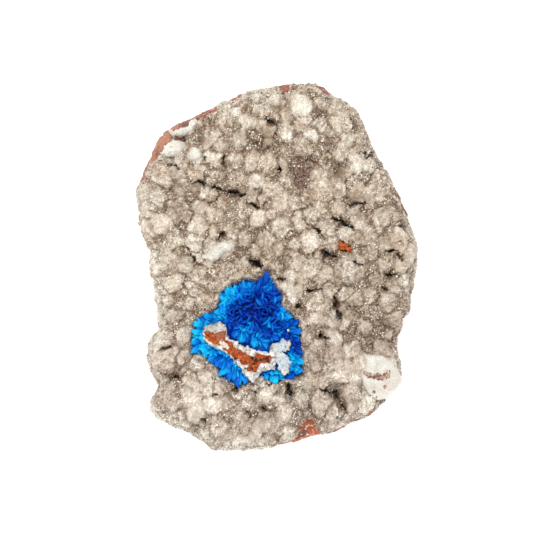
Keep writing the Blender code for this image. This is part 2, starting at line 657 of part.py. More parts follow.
def upright_blades(rng, border):
    """The steep blades inside the rim, spread evenly in a spiral and leaning outward a little."""
    made = []
    rind = [plan(x, y) for x, y in RIND_OUTLINE]
    middle = Vector(plan(*UPRIGHT_MIDDLE))
    floor = POCKET_FLOOR + GAP + CLUSTER_BASE / 2
    for i in range(UPRIGHT_COUNT):
        share = math.sqrt((i + 0.5) / UPRIGHT_COUNT)
        turn = i * GOLDEN_ANGLE
        out = Vector((math.cos(turn) * UPRIGHT_SPREAD[0], math.sin(turn) * UPRIGHT_SPREAD[1])) * PIXEL
        foot = middle + out * share * FOOT_SHARE
        end = middle + out * share
        height = UPRIGHT_TIP - UPRIGHT_FALL * share - rng.uniform(0, UPRIGHT_UNEVEN)
        twist = rng.uniform(0, math.pi)
        side = Vector((math.cos(twist), math.sin(twist), 0))
        if not inside(end, rind):
            root = Vector((*foot, floor))
            tip = Vector((*end, height))
            made.append(fitted_blade(root, tip, UPRIGHT_WIDTH, UPRIGHT_THICKNESS, side, border))
    return [m for m in made if m]


def blades_mesh():
    """All the blades in one mesh, still as separate closed shapes."""
    rng = random.Random(SEED)
    border = grown([plan(x, y) for x, y in CLUSTER_OUTLINE], CLUSTER_MARGIN)
    corners = []
    faces = []
    for new, sides in rim_blades(rng, border) + upright_blades(rng, border):
        first = len(corners)
        corners += new
        faces += [tuple(first + k for k in face) for face in sides]
    return mesh_of("blades", corners, faces)


def make_cavansite():
    """The blue cluster: blades that spread in fans from one base, fused with it."""
    floor = POCKET_FLOOR + GAP
    base = prism("cavansite", CLUSTER_OUTLINE, floor, floor + CLUSTER_BASE, -CLUSTER_MARGIN / 2)
    cluster = add_object("cavansite", base)
    joined = boolean(cluster, cutter("blades", blades_mesh()), "UNION")
    joined.use_self = True
    space = prism("rind_space", RIND_OUTLINE, RIND_SEAT, 2 * CRUST_TOP, GAP)
    boolean(cluster, cutter("rind_space", space), "DIFFERENCE")
    settle(cluster)
    cluster.data.materials.append(material("cavansite_blue", (0.0, 0.13, 0.62), 0.35))
    return cluster


def make_rind():
    """The white rind, with a trough for the chip."""
    floor = RIND_SEAT + GAP
    slab = lump_slab("chip_rind", RIND_OUTLINE, floor, RIND_HEIGHT, RIND_ROUNDING, RIND_WAVINESS)
    rind = add_object("chip_rind", slab)
    space = prism("chip_space", CHIP_OUTLINE, CHIP_FLOOR, 2 * CRUST_TOP, GAP)
    boolean(rind, cutter("chip_space", space), "DIFFERENCE")
    settle(rind)
    rind.data.materials.append(material("white_zeolite", (0.72, 0.72, 0.68), 0.5))
    return rind


def make_chip():
    """The narrow orange-red rock fragment."""
    floor = CHIP_FLOOR + GAP
    slab = lump_slab("breccia_chip", CHIP_OUTLINE, floor, CHIP_HEIGHT, CHIP_ROUNDING, CHIP_WAVINESS)
    chip = add_object("breccia_chip", slab)
    chip.data.materials.append(material("orange_breccia", (0.55, 0.15, 0.05), 0.8))
    return chip


def make_chunk():
    """The smooth cream lump in the lower right corner."""
    slab = lump_slab(
        "cream_chunk", CHUNK_OUTLINE, CHUNK_FLOOR, CHUNK_HEIGHT, CHUNK_ROUNDING, CHUNK_WAVINESS, CHUNK_TILT,
    )
    chunk = add_object("cream_chunk", slab)
    chunk.data.materials.append(material("cream_zeolite", (0.82, 0.78, 0.66), 0.4))
    return chunk


def main():
    for old in list(bpy.data.objects):
        bpy.data.objects.remove(old, do_unlink=True)
    space = prism("chunk_space", CHUNK_OUTLINE, CHUNK_FLOOR - GAP, 2 * CRUST_TOP, GAP)
    chunk_space = cutter("chunk_space", space)
    make_matrix(chunk_space)
    make_crust(chunk_space)
    make_cavansite()
    make_rind()
    make_chip()
    make_chunk()
    for guide in [o for o in bpy.data.objects if o.hide_render]:
        bpy.data.objects.remove(guide, do_unlink=True)


main()
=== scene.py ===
"""The looks of a cavansite specimen: blue blades in a sugary zeolite crust on red-brown breccia.

Lengths are in metres, +Z is up out of the crystal face and +Y is the slab's long way.
Plan positions are pixels of the photograph of the face, x right and y down.
"""

import math
import random
from types import SimpleNamespace
from typing import NamedTuple

import bpy
import numpy as np
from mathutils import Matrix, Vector, noise
from mathutils.geometry import delaunay_2d_cdt


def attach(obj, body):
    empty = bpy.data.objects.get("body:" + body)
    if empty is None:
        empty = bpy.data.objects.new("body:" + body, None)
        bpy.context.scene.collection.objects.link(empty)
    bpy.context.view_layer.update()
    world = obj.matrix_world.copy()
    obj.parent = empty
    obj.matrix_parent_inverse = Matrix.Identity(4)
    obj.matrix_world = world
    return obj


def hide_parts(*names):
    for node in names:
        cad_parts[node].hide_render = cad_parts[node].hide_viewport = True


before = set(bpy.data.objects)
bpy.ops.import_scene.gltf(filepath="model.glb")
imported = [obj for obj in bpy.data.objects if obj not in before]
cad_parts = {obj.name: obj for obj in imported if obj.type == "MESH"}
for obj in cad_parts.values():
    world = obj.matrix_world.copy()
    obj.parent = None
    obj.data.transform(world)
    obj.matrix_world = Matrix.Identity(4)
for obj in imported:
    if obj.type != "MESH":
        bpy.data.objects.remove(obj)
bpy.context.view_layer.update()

MM = 0.001
SEED = 11
noise.seed_set(SEED)

# The specimen's real length and the same length in the photograph give the scale of every pixel.
LENGTH = 95.0 * MM
LENGTH_PIXELS = 369.0
PIXEL = LENGTH / LENGTH_PIXELS
MIDDLE = (277.3, 266.5)
PICTURE_SIDE = 533

# Heights above the resting plane.
MATRIX_TOP = 19.8 * MM
CRUST_TOP = 24.4 * MM
CRUST_FOOT = 6.5 * MM
CAP_MIDDLE = 9.0 * MM
CLUSTER_FLOOR = 21.3 * MM

# The crust's section, as in the solids, with two shares of the way from its middle to its rim.
LUMP_PROUD = 1.6 * MM
SHOULDER_WIDTH = 5.5 * MM
SHOULDER_DROP = 6.0 * MM
DOME_DROP = 1.6 * MM
FACE_SHARE = 0.64
SHOULDER_SHARE = 0.79
LUMP_SINK = 0.3

# Outline of the whole specimen: x, y, and the width of bare matrix outside the crust there.
OUTLINE = [
    (136, 186, 1.5), (141, 174, 2), (150, 156, 4), (156, 143, 8), (160, 136, 10), (165, 130, 10),
    (170, 127, 6), (178, 122, 8), (185, 119, 7), (192, 115.5, 2.5), (199, 112.5, 2), (207, 108.5, 3),
    (216, 104, 3.5), (223, 101, 0.5), (230, 97, 3.5), (236, 95, 3), (243, 92, 0), (258, 88.5, 0),
    (264, 87, 0), (267, 86.5, 2.5), (270, 86, 0), (279, 84.5, 0), (282, 84, 9), (290, 82.5, 10),
    (293, 82.5, 0), (297, 83.5, 2), (303, 83.5, 0), (313, 82, 0), (322, 84.5, 3.5), (330, 91, 3.5),
    (336, 95, 0), (348, 102, 0), (358, 111, 0), (366, 127, 0), (371, 142, 0), (378, 155, 0.5),
    (387, 169, 0), (396, 188, 2.5), (403, 199, 3), (408, 212, 2.5), (409, 222, 0), (414, 234, 0),
    (418, 247, 0), (419, 258, 0), (415, 275, 0), (411, 295, 0), (409, 310, 0), (404, 319, 0), (398, 338, 0),
    (397.5, 345, 0), (398, 351, 3), (399, 357, 0), (400, 366, 0), (402, 381, 0), (393, 393, 0),
    (382, 404, 1.2), (370, 417, 1.2), (352, 425.5, 2), (335, 433, 1.5), (323, 436, 0), (319, 436, 9),
    (316, 436.3, 19), (310, 437.5, 15), (304, 439.5, 13), (298, 442, 6), (292, 444, 4), (283, 446, 3),
    (279, 446, 2.5), (272, 448, 0), (256, 451, 0), (241, 448, 0), (226, 451, 0), (212, 449, 0),
    (201, 441, 0), (190, 433, 0), (175, 427, 0), (160, 420, 0), (151, 411, 0), (150, 402, 0), (158, 390, 0),
    (158, 383, 0), (151, 372, 0), (147, 360, 0), (147, 348, 0), (152, 337, 0), (160, 330, 0), (158, 315, 0),
    (155, 293, 0), (150, 272, 0), (150, 250, 0), (146, 242, 0), (139, 228, 0), (140, 212, 0), (136, 198, 0),
]

# Rings of the matrix from the resting face to the middle of its top, in millimetres:
# height, how far inside the outline where it is bare and where the crust hides it,
# then the share of the bare width it also moves in by.
MATRIX_RINGS = [
    (0.0, 8.5, 9.5, 0.0), (2.2, 4.0, 5.8, 0.0), (6.0, 1.4, 3.4, 0.0), (11.0, 0.0, 2.4, 0.0),
    (15.5, 0.9, 2.8, 0.0), (18.4, 3.6, 4.6, 0.5), (19.2, 10.0, 10.0, 0.0), (19.6, 19.0, 19.0, 0.0),
]

# Broad rises and hollows of the crust's face: x, y, radius, height in millimetres.
SWELLS = [
    (200, 205, 45, 1.0), (240, 125, 35, 1.0), (340, 120, 30, 0.6), (385, 235, 35, 1.0), (350, 265, 24, 1.2),
    (200, 405, 34, 1.4), (165, 360, 22, 0.8), (325, 400, 26, 0.8), (300, 178, 12, -3.2),
    (338, 172, 11, -1.6), (355, 207, 13, -2.4), (380, 336, 20, -2.6), (338, 312, 10, -2.6),
    (264, 141, 14, -1.2), (260, 414, 16, -1.6), (334, 393, 9, -2.8),
]

# Crevices between the lumps: from x, y to x, y, and the width.
CREVICES = [
    (264, 118, 276, 126, 4), (172, 137, 187, 139, 5), (160, 163, 180, 169, 2), (192, 182, 205, 183, 4),
    (211, 189, 224, 190, 4), (224, 190, 247, 196, 4), (249, 206, 259, 207, 4), (223, 157, 224, 170, 3),
    (205, 156, 206, 161, 3), (278, 167, 280, 173, 3), (332, 218, 352, 227, 6), (347, 207, 366, 202, 3.5),
    (313, 226, 323, 235, 3), (250, 258, 262, 269, 6), (320, 253, 337, 257, 5), (276, 279, 283, 279, 3),
    (305, 290, 320, 289, 3), (296, 305, 301, 308, 7), (334, 298, 336, 308, 5), (337, 309, 340, 321, 3),
    (345, 305, 351, 307, 3), (401, 222, 405, 231, 6), (386, 251, 393, 253, 2), (385, 273, 394, 277, 5),
    (380, 287, 386, 289, 3), (318, 336, 328, 337, 3), (332, 390, 338, 398, 8), (340, 402, 346, 412, 6),
    (288, 383, 291, 398, 7), (320, 388, 330, 394, 3), (245, 411, 250, 416, 3), (263, 407, 265, 409, 4),
    (200, 419, 210, 423, 3), (219, 240, 225, 232, 4), (181, 245, 190, 249, 2), (192, 257, 198, 262, 3),
    (172, 375, 177, 378, 5), (160, 346, 172, 348, 3), (229, 389, 240, 390, 2), (250, 389, 256, 395, 2),
    (210, 394, 218, 396, 2), (358, 153, 372, 158, 2), (368, 140, 371, 152, 2), (281, 381, 268, 384, 2),
    (312, 430, 317, 428, 3), (337, 416, 343, 419, 3), (397, 252, 402, 262, 2), (352, 262, 362, 266, 2.5),
]
CREVICE_DEPTH = 3.2 * MM
# Width of a crevice at its ends, as a share of its width in the middle.
CREVICE_END = 0.35

# Lumps of the crust that can be told apart: x, y, radius, by region of the face.
UPPER_LEFT_LUMPS = [
    (167, 151, 6), (179, 147, 8), (182, 131, 6), (195, 122, 6), (196, 157, 8), (215, 118, 7), (236, 113, 6),
    (247, 123, 8), (262, 111, 6), (266, 129, 9), (212, 136, 8), (222, 145, 6), (240, 140, 9), (207, 146, 6),
    (196, 140, 5), (164, 177, 10), (153, 169, 9), (146, 190, 9), (147, 207, 9), (149, 226, 10),
    (196, 174, 9), (214, 160, 8), (232, 163, 9), (252, 161, 9), (268, 162, 8), (283, 167, 7), (183, 187, 8),
    (207, 194, 8), (225, 204, 9), (239, 205, 7), (258, 217, 8), (238, 218, 8), (215, 213, 8),
    (180, 212, 10), (198, 226, 9), (165, 223, 9), (161, 199, 9), (272, 190, 8), (263, 199, 6),
    (281, 203, 8), (255, 181, 8), (235, 180, 8), (216, 177, 7), (225, 105, 6), (243, 100, 7), (258, 98, 6),
    (274, 102, 7), (288, 137, 6),
]
UPPER_RIGHT_LUMPS = [
    (312, 90, 7), (326, 97, 7), (301, 108, 10), (319, 105, 7), (335, 108, 7), (348, 112, 8), (340, 125, 9),
    (311, 134, 7), (303, 123, 8), (286, 118, 8), (330, 143, 5), (345, 142, 8), (356, 137, 6), (366, 146, 7),
    (353, 154, 8), (357, 166, 7), (368, 165, 8), (318, 173, 7), (320, 191, 10), (337, 189, 9),
    (295, 204, 9), (320, 207, 7), (309, 217, 8), (357, 192, 8), (371, 197, 9), (385, 189, 7), (384, 166, 6),
    (376, 178, 7), (395, 203, 8), (380, 221, 10), (360, 225, 8), (391, 214, 7), (327, 228, 8),
    (345, 233, 8), (281, 226, 9), (302, 148, 9),
]
MIDDLE_LUMPS = [
    (310, 242, 10), (370, 238, 8), (396, 241, 10), (409, 254, 9), (382, 246, 7), (350, 267, 12),
    (295, 262, 10), (290, 276, 7), (277, 266, 6), (312, 267, 9), (326, 274, 8), (384, 263, 7),
    (400, 265, 8), (403, 279, 7), (316, 302, 10), (296, 291, 8), (284, 286, 7), (293, 301, 6),
    (329, 290, 8), (345, 292, 7), (356, 298, 7), (375, 277, 7), (392, 286, 7), (403, 304, 8), (386, 301, 8),
    (374, 311, 7), (312, 318, 8), (327, 320, 9), (350, 317, 7), (332, 338, 9), (318, 346, 8),
    (334, 357, 10), (350, 351, 9), (345, 366, 8), (316, 362, 8), (338, 375, 8), (322, 380, 8),
    (308, 380, 7), (394, 318, 8), (245, 240, 8), (266, 243, 9), (230, 232, 7), (226, 270, 9), (243, 263, 7),
    (202, 277, 9), (213, 233, 6), (195, 241, 8), (175, 238, 8), (170, 262, 9), (186, 264, 8), (176, 282, 9),
    (195, 291, 8), (186, 304, 8), (205, 302, 8), (177, 318, 8), (183, 336, 8), (168, 300, 6), (278, 250, 7),
]
LOWER_LUMPS = [
    (164, 341, 8), (165, 361, 11), (154, 353, 7), (182, 357, 8), (196, 366, 7), (162, 374, 9),
    (190, 380, 8), (206, 378, 8), (166, 389, 8), (161, 403, 9), (176, 402, 8), (191, 397, 9),
    (196, 412, 10), (213, 405, 9), (205, 389, 8), (228, 402, 8), (215, 426, 9), (189, 424, 8),
    (204, 433, 7), (220, 441, 8), (236, 439, 8), (246, 426, 8), (263, 415, 7), (256, 430, 8), (271, 426, 8),
    (265, 440, 8), (250, 441, 7), (285, 412, 9), (279, 399, 7), (265, 395, 8), (250, 402, 7), (236, 395, 7),
    (270, 385, 8), (288, 431, 6), (321, 402, 10), (332, 412, 8), (310, 412, 8), (351, 393, 9),
    (350, 406, 8), (366, 404, 8), (325, 426, 8), (341, 423, 7), (302, 398, 7), (357, 419, 7), (374, 394, 7),
]
FACE_LUMPS = UPPER_LEFT_LUMPS + UPPER_RIGHT_LUMPS + MIDDLE_LUMPS + LOWER_LUMPS

# Random lumps: how often one is tried, the radii, and the least share of the way to the rim.
RANDOM_LUMPS = [(1200, (9.0, 13.0), SHOULDER_SHARE), (3000, (6.0, 9.0), 0), (9000, (3.0, 5.5), 0)]

# The room a lump needs, the size of the ball that its cap is cut from, how far that ball counts,
# how high and how flat the cap is, and how much longer than wide.
LUMP_SPACING = 0.85
LUMP_SPREAD = 1.6
LUMP_REACH = 2
LUMP_HEIGHT = 0.8
LUMP_FLATNESS = 0.5
LUMP_STRETCHES = (0.9, 1.45)

# Lumps over this radius in pixels are smooth.
GRAINY_RADIUS = 5.7

# The crust's least thickness on the matrix.
CRUST_LEAST = 1.2 * MM

# Waves of the crust's lower edge round the slab: how many, their height and their phase.
FOOT_WAVES = [(5, 1.5 * MM, 0.0), (11, 1.0 * MM, 1.0)]

# The long white lump to the left of the cluster's top, as a row of small lumps.
LONG_LUMP = [(208, 254, 6), (213, 252, 6.5), (219, 250, 7), (225, 248, 6.5), (231, 245, 6)]

# The purple-brown hollow right of the middle of the upper half.
HOLLOW_OUTLINE = [
    (288, 161), (295, 156), (308, 155), (318, 160), (316, 169), (309, 179), (306, 190), (301, 195),
    (296, 190), (290, 180), (287, 170),
]
# Down the plan, from and to where the hollow's mauve and the face's lilac come in.
HOLLOW_TURN = (-28 * MM, -21 * MM)
FACE_TURN = (-8 * MM, 30 * MM)

# Places that are paler, and places that are browner, than the rest of the crust: x, y, radius, strength.
# The pale spots along the rims are painted light on the turning sides; the other pale spots are whiter
# lumps.
PALE_AND_LIT_SPOTS = [
    (173, 150, 14, 0.9), (196, 157, 8, 1.0), (182, 133, 10, 1.0), (195, 123, 7, 1.0), (301, 109, 11, 0.9),
    (311, 134, 6, 0.9), (362, 166, 12, 0.7), (403, 279, 6, 1.0), (287, 137, 5, 1.0), (236, 113, 6, 0.8),
    (214, 252, 7, 1.0), (225, 248, 7, 1.0), (292, 288, 9, 0.5), (202, 402, 20, 0.5), (350, 268, 12, 0.35),
    (247, 123, 8, 0.6), (293, 300, 5, 1.0), (219, 250, 9, 0.9), (209, 255, 6, 0.9), (230, 246, 6, 0.9),
    (265, 385, 12, 0.6), (345, 233, 8, 0.6), (310, 242, 9, 0.6), (288, 431, 6, 0.9), (146, 205, 16, 0.6),
    (158, 340, 14, 0.4), (300, 391, 10, 0.5), (334, 372, 9, 0.5), (155, 262, 13, 1.0), (159, 290, 12, 1.0),
    (160, 316, 10, 0.95), (140, 225, 12, 0.5), (165, 415, 14, 0.5), (366, 398, 9, 0.8), (353, 380, 9, 0.4),
    (205, 440, 15, 0.7), (235, 446, 15, 0.7), (180, 426, 13, 0.7), (262, 447, 12, 0.6), (340, 428, 13, 0.6),
    (368, 411, 13, 0.7), (390, 395, 10, 0.6), (155, 408, 12, 0.6), (315, 304, 9, 0.4), (260, 90, 22, 0.5),
    (335, 100, 18, 0.4), (228, 108, 10, 0.5), (246, 401, 10, 0.4),
]
BROWN_SPOTS = [
    (264, 141, 14, 1.0), (300, 165, 13, 1.0), (300, 180, 8, 1.0), (338, 171, 11, 0.9), (318, 116, 8, 0.8),
    (330, 144, 5, 0.8), (365, 173, 7, 0.7), (356, 206, 14, 1.0), (205, 133, 12, 0.6), (175, 215, 14, 0.4),
    (330, 255, 11, 0.9), (380, 336, 20, 0.6), (350, 310, 14, 0.6), (245, 255, 16, 0.5), (176, 190, 12, 0.4),
    (195, 205, 8, 0.6), (232, 200, 12, 0.4), (390, 240, 9, 0.5), (300, 336, 8, 0.3), (338, 394, 10, 0.9),
    (365, 250, 26, 0.35), (322, 330, 20, 0.3), (258, 412, 14, 0.5), (176, 373, 10, 0.6),
    (206, 421, 12, 0.4), (236, 172, 12, 0.3), (274, 214, 14, 0.3), (362, 292, 34, 0.32),
    (342, 336, 30, 0.22), (350, 225, 26, 0.2),
]

# Outline of the blue cluster, of the strip with its white rind, and of the cream chunk.
CLUSTER_OUTLINE = [
    (268, 268), (274, 280), (284, 294), (283, 306), (291, 312), (300, 319), (302, 333), (301, 342),
    (304, 353), (304, 372), (300, 378), (284, 380), (275, 383), (262, 378), (248, 383), (238, 389),
    (228, 383), (219, 378), (216, 367), (205, 358), (189, 353), (190, 340), (192, 321), (202, 313),
    (213, 309), (219, 299), (220, 290), (232, 283), (245, 277), (257, 279),
]
RIND_OUTLINE = [
    (204, 327), (210, 324), (220, 322), (226, 324), (228, 330), (230, 338), (236, 341), (243, 346),
    (249, 346), (256, 350), (262, 352), (270, 352), (271, 344), (280, 340), (290, 340), (290, 350),
    (284, 352), (288, 355), (291, 361), (289, 372), (284, 375), (279, 370), (277, 362), (275, 369),
    (267, 371), (262, 370), (258, 378), (252, 382), (246, 376), (240, 368), (232, 359), (226, 353),
    (218, 349), (210, 345), (204, 339), (202, 333),
]
CHIP_OUTLINE = [
    (205, 330), (209, 331), (214, 333), (219, 332), (223, 330), (226, 333), (226, 339), (231, 343),
    (236, 348), (243, 351), (250, 355), (258, 354), (266, 354), (274, 357), (270, 362), (262, 362),
    (258, 366), (256, 371), (250, 371), (247, 369), (249, 364), (242, 364), (240, 358), (236, 360),
    (231, 355), (225, 349), (218, 344), (210, 341), (205, 337),
]
CHUNK_OUTLINE = [
    (363, 352), (366, 354), (382, 355), (390, 361), (397, 369), (402, 378), (401, 383), (394, 392),
    (388, 398), (378, 400), (368, 395), (362, 385), (360, 373), (364, 367),
]
GRAIN_OUTLINE = [(286.8, 329), (289, 328.5), (289.6, 330.8), (287.5, 331.6)]
KNOB_OUTLINE = [(339, 241), (343, 241), (344, 245), (351, 246), (350, 252), (344, 252), (339, 250)]

# Blades at the rim of the cluster, from x, y to x, y, and the width.
RIM_BLADES = [
    (262, 294, 268, 270, 8), (256, 294, 261, 276, 5), (248, 298, 250, 282, 7), (243, 300, 244, 279, 7),
    (237, 300, 234, 284, 7), (234, 303, 226, 287, 8), (232, 308, 220, 295, 9), (231, 316, 214, 310, 10),
    (272, 300, 275, 284, 7), (270, 304, 283, 296, 8), (276, 316, 285, 307, 8), (276, 321, 292, 314, 10),
    (280, 326, 300, 321, 9), (284, 332, 302, 331, 9), (289, 342, 302, 341, 7), (290, 349, 304, 352, 7),
    (291, 357, 304, 362, 8), (290, 365, 303, 372, 8), (286, 371, 292, 379, 8), (276, 371, 275, 383, 9),
    (268, 370, 266, 379, 7), (221, 321, 203, 314, 7), (208, 328, 193, 322, 8), (207, 335, 191, 332, 8),
    (206, 340, 190, 343, 7), (208, 344, 190, 352, 10), (212, 347, 203, 356, 9), (221, 347, 208, 361, 11),
    (227, 350, 215, 366, 11), (234, 353, 221, 378, 13), (236, 360, 229, 382, 9), (235, 358, 238, 388, 13),
    (240, 364, 247, 383, 9), (240, 322, 233, 338, 9), (247, 326, 242, 343, 9), (254, 328, 254, 348, 10),
    (263, 330, 266, 349, 9), (272, 328, 277, 341, 9), (281, 330, 289, 339, 9),
]
GOLDEN_ANGLE = math.radians(137.5)
NEARLY_ZERO = 1e-18


def plan(x, y):
    """A pixel of the photograph as a place on the plan."""
    return (x - MIDDLE[0]) * PIXEL, (MIDDLE[1] - y) * PIXEL


def plan_outline(outline):
    """An outline in pixels as places of the plan."""
    return [plan(x, y) for x, y in outline]


CLUSTER_EDGE = plan_outline(CLUSTER_OUTLINE)
CHUNK_EDGE = plan_outline(CHUNK_OUTLINE)
KNOB_EDGE = plan_outline(KNOB_OUTLINE)


def edge_table():
    """The outline round the middle as angle, radius and width of bare matrix, in order of angle."""
    rows = []
    for x, y, bare in OUTLINE:
        px, py = plan(x, y)
        rows.append((math.atan2(py, px), math.hypot(px, py), bare * PIXEL))
    return np.array(sorted(rows))


EDGE = edge_table()


def edge_at(angle):
    """Radius of the outline and width of bare matrix at each angle."""
    radius = np.interp(angle, EDGE[:, 0], EDGE[:, 1], period=2 * math.pi)
    bare = np.interp(angle, EDGE[:, 0], EDGE[:, 2], period=2 * math.pi)
    return radius, bare


def rim_at(angle):
    """Radius of the crust's side, without its lumps, at each angle."""
    radius, bare = edge_at(angle)
    return radius - bare - LUMP_PROUD


def spot_gap(x, y, px, py, radius):
    """Square of each plan place's distance from a pixel, in units of a radius in pixels."""
    cx, cy = plan(px, py)
    return ((x - cx) ** 2 + (y - cy) ** 2) / (radius * PIXEL) ** 2


def swell(x, y):
    """Height of the crust's broad rises and hollows at each place of the plan."""
    return sum(rise * MM * np.exp(-spot_gap(x, y, *spot)) for *spot, rise in SWELLS)


def spots(x, y, places):
    """The strongest of some soft round spots at each place of the plan."""
    strongest = np.zeros_like(x)
    for *spot, strength in places:
        strongest = np.maximum(strongest, strength * np.exp(-(spot_gap(x, y, *spot) ** 2)))
    return strongest


def line_gap(x, y, start, end):
    """Each plan place's distance from a straight line, and the share of the line passed there."""
    (ax, ay), (bx, by) = start, end
    run = max((bx - ax) ** 2 + (by - ay) ** 2, NEARLY_ZERO)
    along = np.clip(((x - ax) * (bx - ax) + (y - ay) * (by - ay)) / run, 0, 1)
    return np.hypot(x - ax - along * (bx - ax), y - ay - along * (by - ay)), along


def crevice_share(x, y):
    """How deep in a crevice each place of the plan is, from 0 outside to 1 along its middle."""
    share = np.zeros_like(x)
    for x0, y0, x1, y1, width in CREVICES:
        away, along = line_gap(x, y, plan(x0, y0), plan(x1, y1))
        broad = width * PIXEL * (CREVICE_END + (1 - CREVICE_END) * np.sin(along * math.pi))
        share = np.maximum(share, np.clip(1 - away / broad, 0, 1))
    return share


def bend_at(radial):
    """How far the crust has turned down over its shoulder, from 0 on the face to a right angle."""
    return np.clip((radial - FACE_SHARE) / (SHOULDER_SHARE - FACE_SHARE), 0, 1) * math.pi / 2


def crust_base(u, v):
    """Points of the crust without its lumps, at places of the unit disc."""
    radial = np.hypot(u, v)
    angle = np.arctan2(v, u)
    rim = rim_at(angle)
    bend = bend_at(radial)
    face = np.minimum(radial / FACE_SHARE, 1)
    drop = np.clip((radial - SHOULDER_SHARE) / (1 - SHOULDER_SHARE), 0, 1)
    reach = face * (rim - SHOULDER_WIDTH) + np.sin(bend) * SHOULDER_WIDTH
    x = reach * np.cos(angle)
    y = reach * np.sin(angle)
    top = CRUST_TOP - DOME_DROP * (reach / rim) ** 2 + swell(x, y)
    shoulder = top - SHOULDER_DROP * (1 - np.cos(bend))
    foot = CRUST_FOOT + sum(high * np.sin(count * angle + phase) for count, high, phase in FOOT_WAVES)
    return np.stack([x, y, shoulder + (foot - shoulder) * drop], axis=-1)


def crust_outward(u, v):
    """Unit directions that lumps stand out in: up on the face, turning to level on the side."""
    angle = np.arctan2(v, u)
    bend = bend_at(np.hypot(u, v))
    return np.stack([np.sin(bend) * np.cos(angle), np.sin(bend) * np.sin(angle), np.cos(bend)], axis=-1)


def disc_place(px, py):
    """The place of the unit disc where the crust lies over a pixel of the face."""
    x, y = plan(px, py)
    angle = math.atan2(y, x)
    flat = rim_at(angle) - SHOULDER_WIDTH
    reach = math.hypot(x, y)
    bend = math.asin(min(max(reach - flat, 0) / SHOULDER_WIDTH, 1)) / (math.pi / 2)
    radial = min(reach / flat, 1) * FACE_SHARE + bend * (SHOULDER_SHARE - FACE_SHARE)
    return radial * math.cos(angle), radial * math.sin(angle)


def disc_scale(u, v):
    """Real length of one unit of the disc near one of its places."""
    return (rim_at(math.atan2(v, u)) - SHOULDER_WIDTH) / FACE_SHARE


def scatter(rng, lumps, tries, radii, least_radial):
    """Adds random lumps where there is room, between a radial share of the disc and its rim."""
    for _ in range(tries):
        angle = rng.uniform(-math.pi, math.pi)
        radial = math.sqrt(rng.uniform(least_radial**2, 1))
        u = radial * math.cos(angle)
        v = radial * math.sin(angle)
        size = rng.uniform(*radii) * PIXEL
        scale = disc_scale(u, v)
        if all(math.hypot(u - lu, v - lv) * scale > LUMP_SPACING * (size + lr) for lu, lv, lr in lumps):
            lumps.append((u, v, size))


def read_lumps(rows):
    """Lumps in pixels as places on the disc and radii."""
    return [(*disc_place(x, y), radius * PIXEL) for x, y, radius in rows]


def all_lumps():
    """Every lump as a place on the disc and a radius: the ones read, then random ones between."""
    rng = random.Random(SEED)
    lumps = read_lumps(FACE_LUMPS)
    for tries, radii, least_radial in RANDOM_LUMPS:
        scatter(rng, lumps, tries, radii, least_radial)
    return lumps + read_lumps(LONG_LUMP)


def directions(rng, count):
    """Random unit vectors."""
    loose = rng.normal(size=(count, 3))
    return loose / np.linalg.norm(loose, axis=1)[:, None]


def lump_rise(lumps, points, outward):
    """How far the lumps stand out of each base point, as a length and a share, and which lump does."""
    rng = np.random.default_rng(SEED + 2)
    rise = np.zeros(len(points))
    share = np.zeros(len(points))
    owner = np.zeros(len(points), int)
    for number, (u, v, radius) in enumerate(lumps):
        size = radius * LUMP_SPREAD
        up = crust_outward(u, v)
        centre = crust_base(u, v) - up * (size - radius * (1 - LUMP_SINK))
        offset = centre - points
        across = np.cross(up, directions(rng, 1)[0])
        across /= np.linalg.norm(across)
        offset += np.outer(offset @ across, across) * (rng.uniform(*LUMP_STRETCHES) - 1)
        near = np.flatnonzero(np.sum(offset**2, axis=1) < (LUMP_REACH * size) ** 2)
        along = np.sum(offset[near] * outward[near], axis=1)
        square = size**2 - np.sum(offset[near] ** 2, axis=1) + along**2
        top = np.where(square > 0, along + np.sqrt(np.maximum(square, 0)), 0)
        higher = top > rise[near]
        rise[near] = np.where(higher, top, rise[near])
        share[near] = np.where(higher, top / (radius * (1 - LUMP_SINK)), share[near])
        owner[near] = np.where(higher, number, owner[near])
    share = np.clip(share, 0, 1)
    tallest = np.array([radius for u, v, radius in lumps])[owner] * (1 - LUMP_SINK)
    return tallest * LUMP_HEIGHT * share**LUMP_FLATNESS, share, owner


# Meshes.


def make_object(name, points, faces, tones=None):
    """An object from arrays of points and of faces with equally many corners, with point tones."""
    mesh = bpy.data.meshes.new(name)
    corners = np.asarray(faces, np.int32)
    mesh.vertices.add(len(points))
    mesh.vertices.foreach_set("co", np.asarray(points, np.float32).ravel())
    mesh.loops.add(corners.size)
    mesh.loops.foreach_set("vertex_index", corners.ravel())
    mesh.polygons.add(len(corners))
    mesh.polygons.foreach_set("loop_start", np.arange(0, corners.size, corners.shape[1], dtype=np.int32))
    mesh.update(calc_edges=True)
    mesh.validate()
    for key, values in (tones or {}).items():
        layer = mesh.attributes.new(key, "FLOAT", "POINT")
        layer.data.foreach_set("value", np.asarray(values, np.float32))
    made = bpy.data.objects.new(name, mesh)
    bpy.context.scene.collection.objects.link(made)
    return made


def finish_piece(made, finish, slot, *nodes):
    """Gives a piece its material, makes it ride on the body and stand for its solids."""
    made.data.materials.append(finish)
    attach(made, "root")
    if nodes:
        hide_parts(*nodes)


def normals_of(points, faces):
    """Unit normals at the points of a triangle mesh."""
    a, b, c = (points[faces[:, k]] for k in range(3))
    flat = np.cross(b - a, c - a)
    summed = np.zeros_like(points)
    for k in range(3):
        np.add.at(summed, faces[:, k], flat)
    return summed / np.maximum(np.linalg.norm(summed, axis=1), NEARLY_ZERO)[:, None]


def noise_places(points, size, seed, steps):
    """Where to read noise at each point: in units of the noise's size, moved on for each seed."""
    shift = Vector([seed * step for step in steps])
    return [Vector(point) / size + shift for point in points]


